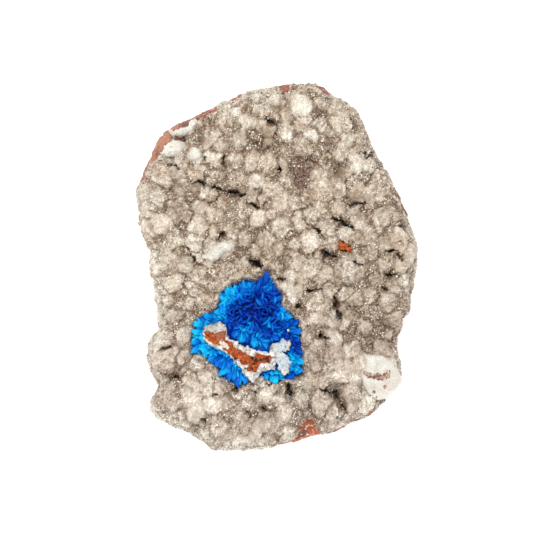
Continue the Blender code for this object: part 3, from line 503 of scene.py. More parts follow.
def fractal(points, size, seed):
    """Soft noise from about -1 to 1 at each point, with features of the given size."""
    places = noise_places(points, size, seed, (17.3, 5.1, 9.7))
    return np.array([noise.fractal(place, 0.8, 2.0, 4) for place in places])


def facets(points, size, seed):
    """Packed crystal faces: their uneven height with its tilt, their shade, and distance from a gap."""
    rows = []
    for place in noise_places(points, size, seed, (13.1, 7.7, 3.3)):
        (first, second, *_), (middle, *_) = noise.voronoi(place)
        own = noise.cell_vector(middle * 7.3) * 2 - Vector((1, 1, 1))
        rows.append((own.x * 0.5 + own.yzx.dot(place - middle) * 1.1, own.z, second - first))
    return np.array(rows).T


def wandering(points, size, seed):
    """Soft random offsets at each point, each coordinate from about -1 to 1."""
    places = noise_places(points, size, seed, (11.9, 3.1, 6.7))
    return np.array([tuple(noise.turbulence_vector(place, 2, False)) for place in places])


def inside(x, y, outline):
    """Whether each plan place lies inside a closed outline."""
    odd = np.zeros(np.shape(x), bool)
    for i, (bx, by) in enumerate(outline):
        ax, ay = outline[i - 1]
        if ay != by:
            crosses = (ay > y) != (by > y)
            odd ^= crosses & (x < (bx - ax) * (y - ay) / (by - ay) + ax)
    return odd


def inward(x, y, outline):
    """Distance of each plan place from a closed outline, positive inside it."""
    nearest = np.full(np.shape(x), np.inf)
    for i, corner in enumerate(outline):
        nearest = np.minimum(nearest, line_gap(x, y, outline[i - 1], corner)[0])
    return np.where(inside(x, y, outline), nearest, -nearest)


def smooth_step(value, low, high):
    """0 up to low, 1 from high, and a smooth rise between them."""
    share = np.clip((value - low) / (high - low), 0, 1)
    return share * share * (3 - 2 * share)


# Materials. Colours are red, green and blue in linear light.

# Valley colours: the crust's browner hollows, darkened further as painted shade.
CRUST_VALLEY_BROWN_AND_SHADE = (0.51, 0.36, 0.225)
CRYSTAL_VALLEY_BROWN_AND_SHADE = (0.62, 0.52, 0.41)
# Whiter lumps, painted light on the rims, and painted glints on single crystals.
PALE_AND_GLINT = (0.83, 0.80, 0.72)
LUMP_BEIGE = (0.648, 0.595, 0.51)
WARM_BEIGE = (0.54, 0.40, 0.28)
LILAC_BEIGE = (0.56, 0.48, 0.44)
RUST = (0.42, 0.22, 0.13)
# Brown for the browner patches, and painted shade at the edges of the crevices.
BROWN_AND_CREVICE_SHADE = (0.26, 0.175, 0.11)
HOLLOW_MAUVE = (0.39, 0.265, 0.215)
# Painted shade in the gaps between lumps and between crystal faces.
GAP_SHADE = (0.135, 0.075, 0.04)
# Painted shadow that fills the crevices.
CREVICE_SHADOW = (0.02, 0.016, 0.012)
DARK_GRAIN = (0.71, 0.65, 0.58)
LIGHT_GRAIN = (1.2, 1.2, 1.2)
# Painted shade and painted glints on single crystal faces, by the tint tone.
SHADED_FACE = (0.485, 0.415, 0.34)
LIT_FACE = (1.38, 1.42, 1.46)
BRICK = (0.38, 0.135, 0.075)
DARK_BRICK = (0.20, 0.075, 0.05)
BURNT_BRICK = (0.09, 0.035, 0.025)
SALMON = (0.40, 0.19, 0.115)
ORANGE = (0.42, 0.10, 0.035)
ROCK_SHADE = (0.12, 0.07, 0.06)
ROCK_SPECK = (0.62, 0.50, 0.40)
ROCK_CRUMB = (0.66, 0.57, 0.48)
NAVY = (0.001, 0.011, 0.26)
DEEP_BLUE = (0.002, 0.10, 0.55)
BRIGHT_BLUE = (0.002, 0.27, 0.72)
AZURE = (0.01, 0.50, 0.82)
RIND_WHITE = (0.86, 0.84, 0.79)
RIND_SHADE = (0.44, 0.41, 0.36)
GLASSY_BLUE = (0.46, 0.56, 0.61)
CAP_GREY = (0.42, 0.39, 0.34)
RIND_SPECK = (0.17, 0.07, 0.045)
CHIP_ORANGE = (0.54, 0.125, 0.026)
CHIP_RED = (0.32, 0.05, 0.014)
CHIP_MOTTLE = (0.15, 0.035, 0.014)
CHIP_GREY = (0.26, 0.12, 0.085)
CHIP_INCLUSION = (0.68, 0.62, 0.52)
CHIP_SPECK = (0.05, 0.018, 0.01)
CREAM = (0.70, 0.68, 0.61)
DARK_CREAM = (0.62, 0.575, 0.49)
DARK_STAIN = (0.10, 0.04, 0.02)
LIGHT_STAIN = (0.45, 0.25, 0.17)


class Paint:
    """A material in the making: its nodes, its shader, and the colour laid on so far."""

    def __init__(self, name, roughness, colour, specular=0.5):
        self.material = bpy.data.materials.new(name)
        self.material.use_nodes = True
        self.tree = self.material.node_tree
        self.shader = self.tree.nodes["Principled BSDF"].inputs
        self.shader["Roughness"].default_value = roughness
        self.shader["Specular IOR Level"].default_value = specular
        self.colour = colour

    def put(self, socket, value):
        """Links a socket to another one, or sets its value."""
        if isinstance(value, bpy.types.NodeSocket):
            self.tree.links.new(value, socket)
        elif isinstance(value, tuple):
            socket.default_value = (*value, 1)
        else:
            socket.default_value = value

    def node(self, kind, output, inputs, **settings):
        """One output of a new node with the given inputs and settings."""
        made = self.tree.nodes.new("ShaderNode" + kind)
        for key, value in settings.items():
            setattr(made, key, value)
        for key, value in inputs.items():
            self.put(made.inputs[key], value)
        return made.outputs[output]

    def mixed(self, share, first, second, blend="MIX"):
        """A colour between two others."""
        return self.node("Mix", 2, {0: share, 6: first, 7: second}, data_type="RGBA", blend_type=blend)

    def times(self, first, second, clamp=True):
        """The product of two values."""
        return self.node("Math", 0, {0: first, 1: second}, operation="MULTIPLY", use_clamp=clamp)

    def levels(self, value, low, high, start=0.0, end=1.0):
        """A value stretched so that low becomes start and high becomes end."""
        inputs = {"Value": value, "From Min": low, "From Max": high, "To Min": start, "To Max": end}
        return self.node("MapRange", "Result", inputs)

    def tone(self, name):
        """One of the mesh's point tones."""
        return self.node("Attribute", "Fac", {}, attribute_name=name)

    def noise(self, size, detail):
        """Soft noise over the object, with features of the given size."""
        place = self.node("TexCoord", "Object", {})
        return self.node("TexNoise", "Fac", {"Vector": place, "Scale": 1 / size, "Detail": detail})

    def grain(self, size, low, high, start=0.0, end=1.0, detail=3.0):
        """The noise stretched so that low becomes start and high becomes end."""
        return self.levels(self.noise(size, detail), low, high, start, end)

    def ragged(self, name, size):
        """A point tone with its soft edge broken up by noise into crisp patches."""
        loose = self.grain(size, 0.35, 0.65, 0.4, 1.4)
        return self.levels(self.times(self.tone(name), loose, clamp=False), 0.4, 0.55)

    def lay(self, *layers):
        """Lays colours over the present one, each by its own share."""
        for share, colour in layers:
            self.colour = self.mixed(share, self.colour, colour)

    def shade(self, light):
        """Multiplies the colour by another colour or value."""
        self.colour = self.mixed(1.0, self.colour, light, "MULTIPLY")

    def bump(self, size, distance, detail=3.0):
        """Gives the surface fine relief."""
        height = self.noise(size, detail)
        normal = self.node("Bump", "Normal", {"Distance": distance, "Strength": 1.0, "Height": height})
        self.put(self.shader["Normal"], normal)

    def finished(self):
        """The material, with its colour put on the shader."""
        self.put(self.shader["Base Color"], self.colour)
        return self.material


def druse_finish(name, roughness, valley):
    """Beige zeolite: the valley colour, partly painted shade, in the hollows, pale on the lumps with painted
    light on their tops, with a grain of crystals.
    """
    paint = Paint(name, roughness, valley)
    below = paint.levels(paint.tone("top"), 0.2, 0.9, 0.6, 0.0)
    rusty = paint.times(paint.grain(1.8 * MM, 0.5, 0.62), below)
    paint.lay(
        # Lump tops paler as painted light, over the valley colour that is partly painted shade.
        (paint.tone("top"), LUMP_BEIGE),
        (paint.times(paint.grain(9 * MM, 0.4, 0.65), 0.3), WARM_BEIGE),
        (rusty, RUST),
        (paint.times(paint.tone("lower"), 0.4), LILAC_BEIGE),
        # Browner patches, and painted shade at the crevices' edges.
        (paint.tone("brown"), BROWN_AND_CREVICE_SHADE),
        (paint.tone("hollow"), HOLLOW_MAUVE),
        # Painted shade in the gaps between lumps and between crystal faces.
        (paint.times(paint.tone("gap"), 0.85), GAP_SHADE),
        # Whiter lumps, painted light on the rims and painted glints on single crystals.
        (paint.tone("pale"), PALE_AND_GLINT),
        # Painted shadow in the crevices.
        (paint.tone("dark"), CREVICE_SHADOW),
    )
    paint.shade(paint.mixed(paint.grain(0.4 * MM, 0.35, 0.65), DARK_GRAIN, LIGHT_GRAIN))
    # Random tone, with painted shade and painted glints on single crystal faces.
    paint.shade(paint.mixed(paint.levels(paint.tone("tint"), -1, 1), SHADED_FACE, LIT_FACE))
    paint.bump(0.35 * MM, 0.12 * MM)
    return paint.finished()


def rock_finish(name):
    """Red-brown breccia: brick with darker and orange patches, a salmon crescent and pale specks."""
    paint = Paint(name, 0.85, DARK_BRICK)
    paint.lay(
        (paint.grain(4 * MM, 0.42, 0.58, detail=5.0), BRICK),
        (paint.tone("salmon"), SALMON),
        (paint.tone("orange"), ORANGE),
        (paint.tone("dark"), ROCK_SHADE),
        (paint.times(paint.grain(1.1 * MM, 0.64, 0.7, detail=1.0), 0.6), ROCK_SPECK),
        (paint.times(paint.grain(0.9 * MM, 0.57, 0.61, detail=4.0), paint.tone("orange")), ROCK_CRUMB),
        (paint.grain(0.8 * MM, 0.57, 0.66, end=0.7, detail=4.0), BURNT_BRICK),
    )
    paint.shade(paint.grain(0.4 * MM, 0.3, 0.7, 0.65, 1.35))
    paint.bump(0.5 * MM, 0.2 * MM, detail=5.0)
    return paint.finished()


def blue_finish(name):
    """Cavansite: navy as painted shade where the blades are dark, through bright blue to azure as painted
    light at the lit ends.
    """
    paint = Paint(name, 0.3, NAVY, specular=0.08)
    blue_painted_light = paint.tone("blue_painted_light")
    paint.lay(
        (paint.levels(blue_painted_light, 0.0, 0.4), DEEP_BLUE),
        (paint.levels(blue_painted_light, 0.4, 0.75), BRIGHT_BLUE),
        (paint.levels(blue_painted_light, 0.75, 1.0), AZURE),
    )
    paint.shade(paint.grain(0.6 * MM, 0.3, 0.7, 0.85, 1.12))
    return paint.finished()


def rind_finish(name):
    """White zeolite with glassy bluish patches and a greyer cap."""
    paint = Paint(name, 0.45, RIND_SHADE)
    paint.lay(
        (paint.grain(1.0 * MM, 0.38, 0.62), RIND_WHITE),
        (paint.tone("glassy"), GLASSY_BLUE),
        (paint.tone("grey"), CAP_GREY),
        (paint.ragged("specks", 0.4 * MM), RIND_SPECK),
    )
    paint.shade(paint.grain(0.5 * MM, 0.3, 0.7, 0.82, 1.15))
    paint.bump(0.5 * MM, 0.2 * MM)
    return paint.finished()


def chip_finish(name):
    """Orange-red rock with a white inclusion, a greyish round spot and dark specks."""
    paint = Paint(name, 0.8, CHIP_RED, specular=0.2)
    paint.lay(
        (paint.grain(0.9 * MM, 0.4, 0.6), CHIP_ORANGE),
        (paint.grain(0.5 * MM, 0.5, 0.6, end=0.75, detail=5.0), CHIP_MOTTLE),
        (paint.tone("grey"), CHIP_GREY),
        (paint.ragged("white", 0.6 * MM), CHIP_INCLUSION),
        (paint.ragged("specks", 0.4 * MM), CHIP_SPECK),
    )
    paint.bump(0.5 * MM, 0.25 * MM, detail=5.0)
    return paint.finished()


def cream_finish(name):
    """Smooth cream zeolite with a brown inclusion and a few brown specks."""
    paint = Paint(name, 0.4, CREAM)
    stain = paint.mixed(paint.grain(0.7 * MM, 0.4, 0.6), DARK_STAIN, LIGHT_STAIN)
    paint.lay(
        (paint.grain(5 * MM, 0.4, 0.6), DARK_CREAM),
        (paint.ragged("brown", 0.5 * MM), stain),
    )
    paint.shade(paint.grain(0.5 * MM, 0.35, 0.65, 0.88, 1.08))
    paint.bump(0.8 * MM, 0.3 * MM, detail=5.0)
    return paint.finished()


# The crust.

CRUST_CELLS = 314
# Share of the grid that lies on the face, which gives the face smaller triangles than the sides.
FACE_GRID_SHARE = 0.8

# How far the edges of lumps and crevices wander, and over what length each does.
WANDER = 0.8 * MM
LUMP_WANDER_SIZE = 2.2 * MM
CREVICE_WANDER_SIZE = 1.6 * MM

# The seams between lumps, and the round hollow in the crust.
SEAM_STRENGTHS = (0.3, 1.1)
SEAM_DEPTH = 0.3 * MM
HOLLOW_EDGE = (-0.2 * MM, 0.8 * MM)
HOLLOW_DEPTH = 0.8 * MM
HOLLOW_FLATNESS = 0.85

# Width and height of the crust's larger and of its finer crystal faces.
COARSE_WIDTH, COARSE_HEIGHT = 1.7 * MM, 0.32 * MM
FINE_WIDTH, FINE_HEIGHT = 0.8 * MM, 0.16 * MM

# Large lumps are smoother than small ones, each by chance, apart from grainy patches of this size.
GRAINY_PATCH = 11 * MM
SMOOTHNESS = (0.45, 1.0)

# How far inside the cluster's edge the crust starts and ends its way down, and where it is cut
# away under a lump: the lump's outline, how far inside it the cut starts, and the height left.
CLUSTER_DIP = (-0.4 * MM, 1.6 * MM)
CUTS = [(CHUNK_EDGE, 0.5 * MM, 15 * MM), (KNOB_EDGE, 0, 23 * MM)]

# The tiny crystals, which stop a little inside the cluster and just outside the chunk and the knob.
CRYSTAL_PIECES = 3
CRYSTALS_PER_PIECE = 24000
CRYSTAL_HALF_WIDTHS = (0.12 * MM, 0.32 * MM)
CRYSTAL_HALF_LENGTHS = (0.18 * MM, 0.4 * MM)
CRYSTAL_LEAN = 1.2
CRYSTAL_LIFT = 0.4
CRYSTAL_LIMITS = [(CLUSTER_EDGE, 1.2 * MM), (CHUNK_EDGE, 0), (KNOB_EDGE, -0.2 * MM)]
# Share of crystals painted white as glints, and how strongly.
GLINT_SHARE = 0.14
GLINT_STRENGTH = 0.95
TINT_SPREAD = 0.8
# Painted light on each crystal's tip and painted shade at its sunken root, added to the top tone of its six
# corners.
PAINTED_LIGHT_OF_CORNERS = np.array([0.0, 0.0, 0.0, 0.0, 0.25, -0.5])
OCTAHEDRON = np.array([
    (0, 2, 4), (2, 1, 4), (1, 3, 4), (3, 0, 4), (2, 0, 5), (1, 2, 5), (3, 1, 5), (0, 3, 5),
])


def disc_grid(count):
    """A square grid squeezed onto the unit disc, finer on the face: places, triangles and rim in order."""
    line = np.linspace(-1, 1, count + 1)
    a, b = np.meshgrid(line, line, indexing="ij")
    wide = np.abs(a) >= np.abs(b)
    main = np.where(wide, a, b)
    minor = np.where(wide, b, a)
    turn = math.pi / 4 * minor / np.where(main == 0, 1, main)
    angle = np.where(wide, turn, math.pi / 2 - turn) + np.where(main < 0, math.pi, 0)
    ring = np.abs(main)
    beyond = np.maximum(ring - FACE_GRID_SHARE, 0) * (1 - FACE_SHARE) / (1 - FACE_GRID_SHARE)
    radial = np.minimum(ring / FACE_GRID_SHARE, 1) * FACE_SHARE + beyond
    index = np.arange((count + 1) ** 2).reshape(count + 1, count + 1)
    p, q, r, s = (k.ravel() for k in (index[:-1, :-1], index[1:, :-1], index[1:, 1:], index[:-1, 1:]))
    triangles = np.concatenate([np.stack([p, q, r], 1), np.stack([p, r, s], 1)])
    rim = np.concatenate([index[:, 0], index[-1, 1:], index[-2::-1, -1], index[0, -2:0:-1]])
    return (radial * np.cos(angle)).ravel(), (radial * np.sin(angle)).ravel(), triangles, rim


def pressed_down(points):
    """The crust's points, lowered under the cluster, the chunk and the knob."""
    x, y, height = points.T
    under = smooth_step(inward(x, y, CLUSTER_EDGE), *CLUSTER_DIP)
    height = height * (1 - under) + np.minimum(height, CLUSTER_FLOOR) * under
    for edge, margin, floor in CUTS:
        height = np.where(inward(x, y, edge) > margin, np.minimum(height, floor), height)
    return np.column_stack([x, y, height])


def seams(owner, triangles, strengths):
    """Strength, at each point, of the grooves along which neighbouring lumps meet, which are also painted as
    dark lines of shade.
    """
    found = np.zeros(len(owner))
    for k in range(3):
        a, b = triangles[:, k], triangles[:, (k + 1) % 3]
        parted = owner[a] != owner[b]
        both = strengths[owner[a]] * strengths[owner[b]]
        np.maximum.at(found, a[parted], both[parted])
    return found


def worn_places(base, radial):
    """How deep in a crevice, and how far in the round hollow, each base point is."""
    bent = base + WANDER * wandering(base, CREVICE_WANDER_SIZE, seed=6)
    deep = crevice_share(bent[:, 0], bent[:, 1]) * (radial < SHOULDER_SHARE)
    deep = deep * np.clip(1.15 + 0.8 * fractal(base, 1.5 * MM, seed=9), 0, 1)
    hollow = smooth_step(inward(bent[:, 0], bent[:, 1], plan_outline(HOLLOW_OUTLINE)), *HOLLOW_EDGE)
    return deep, hollow


def crust_tones(at, count, rng):
    """The crust's point tones, from what is known of each point and from chance for each lump."""
    tint = rng.uniform(-1, 1, count)[at.owner]
    pale = (rng.uniform(0, 1, count) ** 3 * 0.4)[at.owner] * at.share * at.large
    brown = spots(at.x, at.y, BROWN_SPOTS) * (1 - 0.35 * at.smooth)
    return {
        # Lump tops paler as painted light; low places keep the valley colour, partly painted shade.
        "top": smooth_step(at.share, -0.15, 0.35) * (0.55 + 0.45 * at.large) * (0.85 + 0.15 * at.shade),
        # Painted shade in the gaps between lumps and between crystal faces.
        "gap": np.maximum((1 - smooth_step(at.gap, 0.01, 0.17)) * (0.35 + 0.3 * at.calm), at.seam),
        # Whiter lumps, with painted light along the rims.
        "pale": np.maximum(spots(at.x, at.y, PALE_AND_LIT_SPOTS) * (0.75 + 0.25 * at.share), pale),
        # Browner patches, and painted shade at the crevices' edges.
        "brown": np.maximum(brown, smooth_step(at.deep, 0.05, 0.3)),
        "hollow": at.hollow * (0.25 + 0.65 * smooth_step(-at.y, *HOLLOW_TURN)),
        # Painted shadow in the crevices.
        "dark": smooth_step(at.deep, 0.4, 0.75),
        # Random tone per lump, with painted shade and painted glints per crystal face.
        "tint": np.clip(0.18 * tint + 0.4 * at.shade * (0.5 + 0.5 * at.calm)
                        + 0.72 * at.fine_shade * (0.3 + 0.7 * at.calm), -1, 1),
        "lower": smooth_step(-at.y, *FACE_TURN),
        "calm": at.calm,
    }


def crust_surface():
    """The crust's dense surface: points, triangles, rim and tones."""
    u, v, triangles, rim = disc_grid(CRUST_CELLS)
    radial = np.hypot(u, v)
    base = crust_base(u, v)
    outward = crust_outward(u, v)
    lumps = all_lumps()
    radii = np.array([radius for u, v, radius in lumps])
    warped = base + WANDER * wandering(base, LUMP_WANDER_SIZE, seed=4)
    rise, share, owner = lump_rise(lumps, warped, outward)
    deep, hollow = worn_places(base, radial)
    rng = np.random.default_rng(SEED)
    seam = seams(owner, triangles, rng.uniform(*SEAM_STRENGTHS, len(lumps)))
    rise = rise * (1 - HOLLOW_FLATNESS * hollow) - hollow * HOLLOW_DEPTH
    points = base + outward * (rise - deep * CREVICE_DEPTH - seam * SEAM_DEPTH)[:, None]
    least = np.maximum(points[:, 2], MATRIX_TOP + CRUST_LEAST)
    points[:, 2] = np.where(radial < FACE_SHARE, least, points[:, 2])
    normal = normals_of(points, triangles)
    coarse, shade, gap = facets(points, COARSE_WIDTH, seed=1)
    fine, fine_shade, _ = facets(points, FINE_WIDTH, seed=2)
    patch = smooth_step(fractal(base, GRAINY_PATCH, seed=3), 0.1, 0.45)
    large = (radii > GRAINY_RADIUS * PIXEL)[owner] * (1 - 0.7 * patch) * (1 - hollow)
    smooth = large * rng.uniform(*SMOOTHNESS, len(lumps))[owner] * smooth_step(share, 0.0, 0.3)
    calm = 1 - 0.9 * smooth
    relief = COARSE_HEIGHT * coarse + FINE_HEIGHT * fine * (0.3 + 0.7 * calm)
    points = pressed_down(points + normal * relief[:, None])
    at = SimpleNamespace(
        x=base[:, 0], y=base[:, 1], owner=owner, share=share, deep=deep, seam=seam, hollow=hollow,
        large=large, smooth=smooth, calm=calm, shade=shade, gap=gap, fine_shade=fine_shade)
    return points, triangles, rim, crust_tones(at, len(lumps), rng)


def make_crust(finish):
    """The crust itself, closed below by a cone inside the matrix."""
    points, triangles, rim, tones = crust_surface()
    last = len(points)
    cone = np.stack([rim, np.roll(rim, -1), np.full(len(rim), last)], 1)[:, ::-1]
    closed = np.vstack([points, (0, 0, CAP_MIDDLE)])
    tones_closed = {key: np.append(values, 0) for key, values in tones.items() if key != "calm"}
    made = make_object("zeolite_druse", closed, np.vstack([triangles, cone]), tones_closed)
    finish_piece(made, finish, "zeolite", "zeolite_crust")
    return points, triangles, tones


def crystal_spots(points, triangles, tones, rng, count):
    """Random places on the crust, evenly by area, with their normals and tones."""
    a, b, c = (points[triangles[:, k]] for k in range(3))
    flat = np.cross(b - a, c - a)
    area = np.linalg.norm(flat, axis=1) / 2
    x, y, _ = ((a + b + c) / 3).T
    hidden = np.any([inward(x, y, edge) > margin for edge, margin in CRYSTAL_LIMITS], axis=0)
    valley = tones["calm"][triangles[:, 0]]
    chance = np.where(hidden, 0, area * valley**2)
    chosen = rng.choice(len(triangles), count, p=chance / chance.sum())
    r = np.sqrt(rng.random(count))
    s = rng.random(count)
    weights = np.stack([1 - r, r * (1 - s), r * s], 1)[:, :, None]
    place = (np.stack([a[chosen], b[chosen], c[chosen]], 1) * weights).sum(1)
    normal = flat[chosen] / (2 * area[chosen])[:, None]
    own = {key: values[triangles[chosen, 0]] for key, values in tones.items()}
    return place, normal, own


def make_crystals(name, surface, finish, rng, count):
    """One joined mesh of tiny pointed crystals that stand out of the crust."""
    place, normal, tones = crystal_spots(*surface, rng, count)
    axis = normal + CRYSTAL_LEAN * directions(rng, count)
    axis /= np.linalg.norm(axis, axis=1)[:, None]
    side = np.cross(axis, directions(rng, count))
    side /= np.linalg.norm(side, axis=1)[:, None]
    across = np.cross(axis, side)
    wide = rng.uniform(*CRYSTAL_HALF_WIDTHS, (count, 1))
    narrow = wide * rng.uniform(0.5, 1.0, (count, 1))
    long = rng.uniform(*CRYSTAL_HALF_LENGTHS, (count, 1))
    place = place + normal * narrow * CRYSTAL_LIFT
    corners = np.stack([
        place + side * wide, place - side * wide, place + across * narrow, place - across * narrow,
        place + axis * long, place - axis * long,
    ], 1)
    faces = (OCTAHEDRON[None] + 6 * np.arange(count)[:, None, None]).reshape(-1, 3)
    tones["tint"] = np.clip(tones["tint"] + rng.normal(0, TINT_SPREAD, count) * tones.pop("calm"), -1, 1)
    # Painted glints: some crystals turned white.
    tones["pale"] = np.maximum(tones["pale"], (rng.random(count) < GLINT_SHARE) * GLINT_STRENGTH)
    six = {key: np.repeat(values, 6) for key, values in tones.items()}
    # Painted light at the tip, painted shade at the root.
    six["top"] = np.clip(six["top"] + np.tile(PAINTED_LIGHT_OF_CORNERS, count), 0, 1)
    made = make_object(name, corners.reshape(-1, 3), faces, six)
    finish_piece(made, finish, "zeolite")


# Lumps on a plan outline.

FRAY_SIZE = 0.7 * MM


class Section(NamedTuple):
    """A lump from the side: its levels, how round its edge is, the size of its mesh, and its tilt."""

    floor: float
    top: float
    rounding: float
    pitch: float = 0.3 * MM
    tilt: tuple = (0.0, 0.0)


def mound(outline, section, relief):
    """A closed lump on a plan outline: its points and triangles.

    The top is rounded down at the edge and given relief, a function of the points.
    """
    floor, top, rounding, pitch, tilt = section
    rim = []
    for i, (bx, by) in enumerate(outline):
        ax, ay = outline[i - 1]
        steps = max(1, round(math.hypot(bx - ax, by - ay) / pitch))
        rim += [(ax + (bx - ax) * k / steps, ay + (by - ay) * k / steps) for k in range(steps)]
    low = np.min(outline, axis=0)
    high = np.max(outline, axis=0)
    gx, gy = np.meshgrid(np.arange(low[0], high[0], pitch), np.arange(low[1], high[1], pitch))
    keep = inward(gx, gy, outline) > 0.5 * pitch
    flat = rim + list(zip(gx[keep], gy[keep]))
    sheet = delaunay_2d_cdt([Vector(p) for p in flat], [], [list(range(len(rim)))], 1, 1e-7)
    x, y = np.array([tuple(p) for p in sheet[0]]).T
    triangles = np.array(sheet[2])
    over = np.clip(1 - np.maximum(inward(x, y, outline), 0) / rounding, 0, 1)
    drop = rounding * (1 - np.sqrt(1 - over**2))
    middle = np.mean(outline, axis=0)
    fall = (x - middle[0]) * tilt[0] + (y - middle[1]) * tilt[1]
    upper = np.column_stack([x, y, top - drop - fall])
    upper[:, 2] += relief(upper)
    lower = np.column_stack([x, y, np.full(len(x), floor)])
    count = len(x)
    edges = outer_edges(triangles)
    walls = [(a, a + count, b) for a, b in edges] + [(b, a + count, b + count) for a, b in edges]
    return np.vstack([upper, lower]), np.vstack([triangles, triangles[:, ::-1] + count, walls])


def outer_edges(triangles):
    """The edges that only one triangle has, in that triangle's direction."""
    found = {}
    for triangle in triangles.tolist():
        for k in range(3):
            a, b = triangle[k], triangle[(k + 1) % 3]
            if (b, a) in found:
                del found[(b, a)]
            else:
                found[(a, b)] = True
    return list(found)


def make_mound(name, outline, section, relief, finish, slot, tones, *nodes, fray=0.0):
    """A lump on an outline in pixels, with a frayed edge and tones that are soft spots on the plan."""
    points, faces = mound(plan_outline(outline), section, relief)
    points = points + wandering(points * (1, 1, 0), FRAY_SIZE, seed=12) * (fray, fray, 0)
    painted = {key: spots(points[:, 0], points[:, 1], places) for key, places in tones.items()}
    made = make_object(name, points, faces, painted)
    finish_piece(made, finish, slot, *nodes)


def rough(size, height, seed):
    """A relief function: soft noise and broken faces of one size."""
    def relief(points):
        broken, _, _ = facets(points, size, seed)
        return height * (0.5 * broken + 0.5 * fractal(points, size, seed))
    return relief


# The matrix.

MATRIX_COLUMNS = 480
MATRIX_ROWS = 64
UNDERSIDE_ROWS = 10
UNDERSIDE_REACH = (0.04, 0.96)
# The broken faces stand out of the slab by this much at most.
MATRIX_PROUD = 0.25 * MM
# Between these levels the dark spots of the edge fade in.
MATRIX_DARK_LEVELS = (8 * MM, 16 * MM)
# Tinted places of the rock: x, y, radius, strength.
SALMON_SPOTS = [(163, 141, 14, 1.0), (150, 160, 9, 0.9), (180, 126, 9, 0.7), (140, 182, 8, 0.7)]
ORANGE_SPOTS = [(307, 431, 18, 1.0), (290, 84, 7, 0.6), (173, 131, 5, 0.6), (224, 101, 16, 0.6)]
MATRIX_DARK_SPOTS = [
    (183.5, 123, 4, 1.0), (284, 87, 7, 0.4), (326, 88, 8, 0.5), (397, 190, 9, 0.6), (406, 207, 11, 0.6),
    (356, 425, 10, 0.5), (397, 352, 6, 0.6), (212, 106, 5, 0.4), (386, 400, 12, 0.5), (334, 433, 7, 0.8),
    (304, 432, 4, 1.0), (301, 437, 2.5, 0.8),
]
KNOB = Section(20 * MM, 25.9 * MM, rounding=0.5 * MM)
KNOB_SPECKS = [(349, 250, 1.2, 0.8)]


def matrix_surface():
    """The breccia slab from its resting face to the middle of its top: points and triangles."""
    heights, bare_insets, hidden_insets, leans = np.array(MATRIX_RINGS).T
    steps = np.hypot(np.diff(heights), np.diff(bare_insets))
    run = np.concatenate([[0], np.cumsum(steps)]) / steps.sum()
    rows = np.linspace(0, 1, MATRIX_ROWS)[:, None]
    angle = np.linspace(-math.pi, math.pi, MATRIX_COLUMNS, endpoint=False)
    radius, bare = edge_at(angle)
    share = np.minimum(bare / PIXEL, 1)
    bare_inset, hidden_inset, lean, height = (
        np.interp(rows, run, values) for values in (bare_insets, hidden_insets, leans, heights))
    inset = (bare_inset * share + hidden_inset * (1 - share)) * MM + lean * share * bare
    reach = radius - inset
    under = reach[0] * np.linspace(*UNDERSIDE_REACH, UNDERSIDE_ROWS)[:, None]
    reach = np.vstack([under, reach])
    height = np.vstack([np.zeros((UNDERSIDE_ROWS, 1)), height]) * MM + np.zeros_like(reach)
    points = np.stack([reach * np.cos(angle), reach * np.sin(angle), height], -1).reshape(-1, 3)
    index = np.arange(len(points)).reshape(-1, MATRIX_COLUMNS)
    low, high = index[:-1].ravel(), index[1:].ravel()
    low_next, high_next = np.roll(index[:-1], -1, 1).ravel(), np.roll(index[1:], -1, 1).ravel()
    bands = np.concatenate([np.stack([low, low_next, high_next], 1), np.stack([low, high_next, high], 1)])
    bottom = np.full(MATRIX_COLUMNS, len(points))
    ends = [
        np.stack([np.roll(index[0], -1), index[0], bottom], 1),
        np.stack([index[-1], np.roll(index[-1], -1), bottom + 1], 1),
    ]
    points = np.vstack([points, (0, 0, 0), (0, 0, MATRIX_TOP)])
    return points, np.vstack([bands, *ends])


def make_matrix(finish):
    """The slab of breccia with broken faces, flat where it rests, and its knob."""
    points, triangles = matrix_surface()
    broad, _, _ = facets(points, 6 * MM, seed=5)
    small, _, _ = facets(points, 2 * MM, seed=7)
    relief = 0.45 * MM * broad + 0.2 * MM * small + 0.15 * MM * fractal(points, 1 * MM, seed=8) - 0.1 * MM
    rest = smooth_step(points[:, 2], 0, 1.5 * MM)
    out = np.minimum(relief, MATRIX_PROUD) * rest
    points = points + normals_of(points, triangles) * out[:, None]
    x, y, height = points.T
    tones = {
        "salmon": spots(x, y, SALMON_SPOTS),
        "orange": spots(x, y, ORANGE_SPOTS),
        "dark": spots(x, y, MATRIX_DARK_SPOTS) * smooth_step(height, *MATRIX_DARK_LEVELS),
    }
    made = make_object("breccia", points, triangles, tones)
    finish_piece(made, finish, "breccia", "matrix")
    marks = {"grey": [], "white": [], "specks": KNOB_SPECKS}
    make_mound("knob", KNOB_OUTLINE, KNOB, rough(1 * MM, 0.3 * MM, seed=3), chip_finish("knob"), "breccia",
               marks, fray=0.7 * MM)


# The cavansite.

BLADE_SECTION = np.array([(1, 0), (0.6, 1), (-0.6, 1), (-1, 0), (-0.6, -1), (0.6, -1)])
# Along a blade: the share of the way to its shoulder, then of its width and of its thickness.
BLADE_STATIONS = [(0.0, 0.6, 0.8), (0.5, 0.95, 1.0), (1.0, 1.0, 0.9)]
# Shares of a blade's length and width: where its shoulder is, and how far aside its tip.
SHOULDERS = (0.66, 0.88)
SLANTS = (-0.45, 0.45)

# The low base that the blades stand on, drawn in a little towards its middle.
CLUSTER_BASE = Section(CLUSTER_FLOOR, 23.6 * MM, 1.5 * MM, 0.6 * MM)
BASE_MIDDLE = (250, 325)
BASE_SHRINK = 0.97

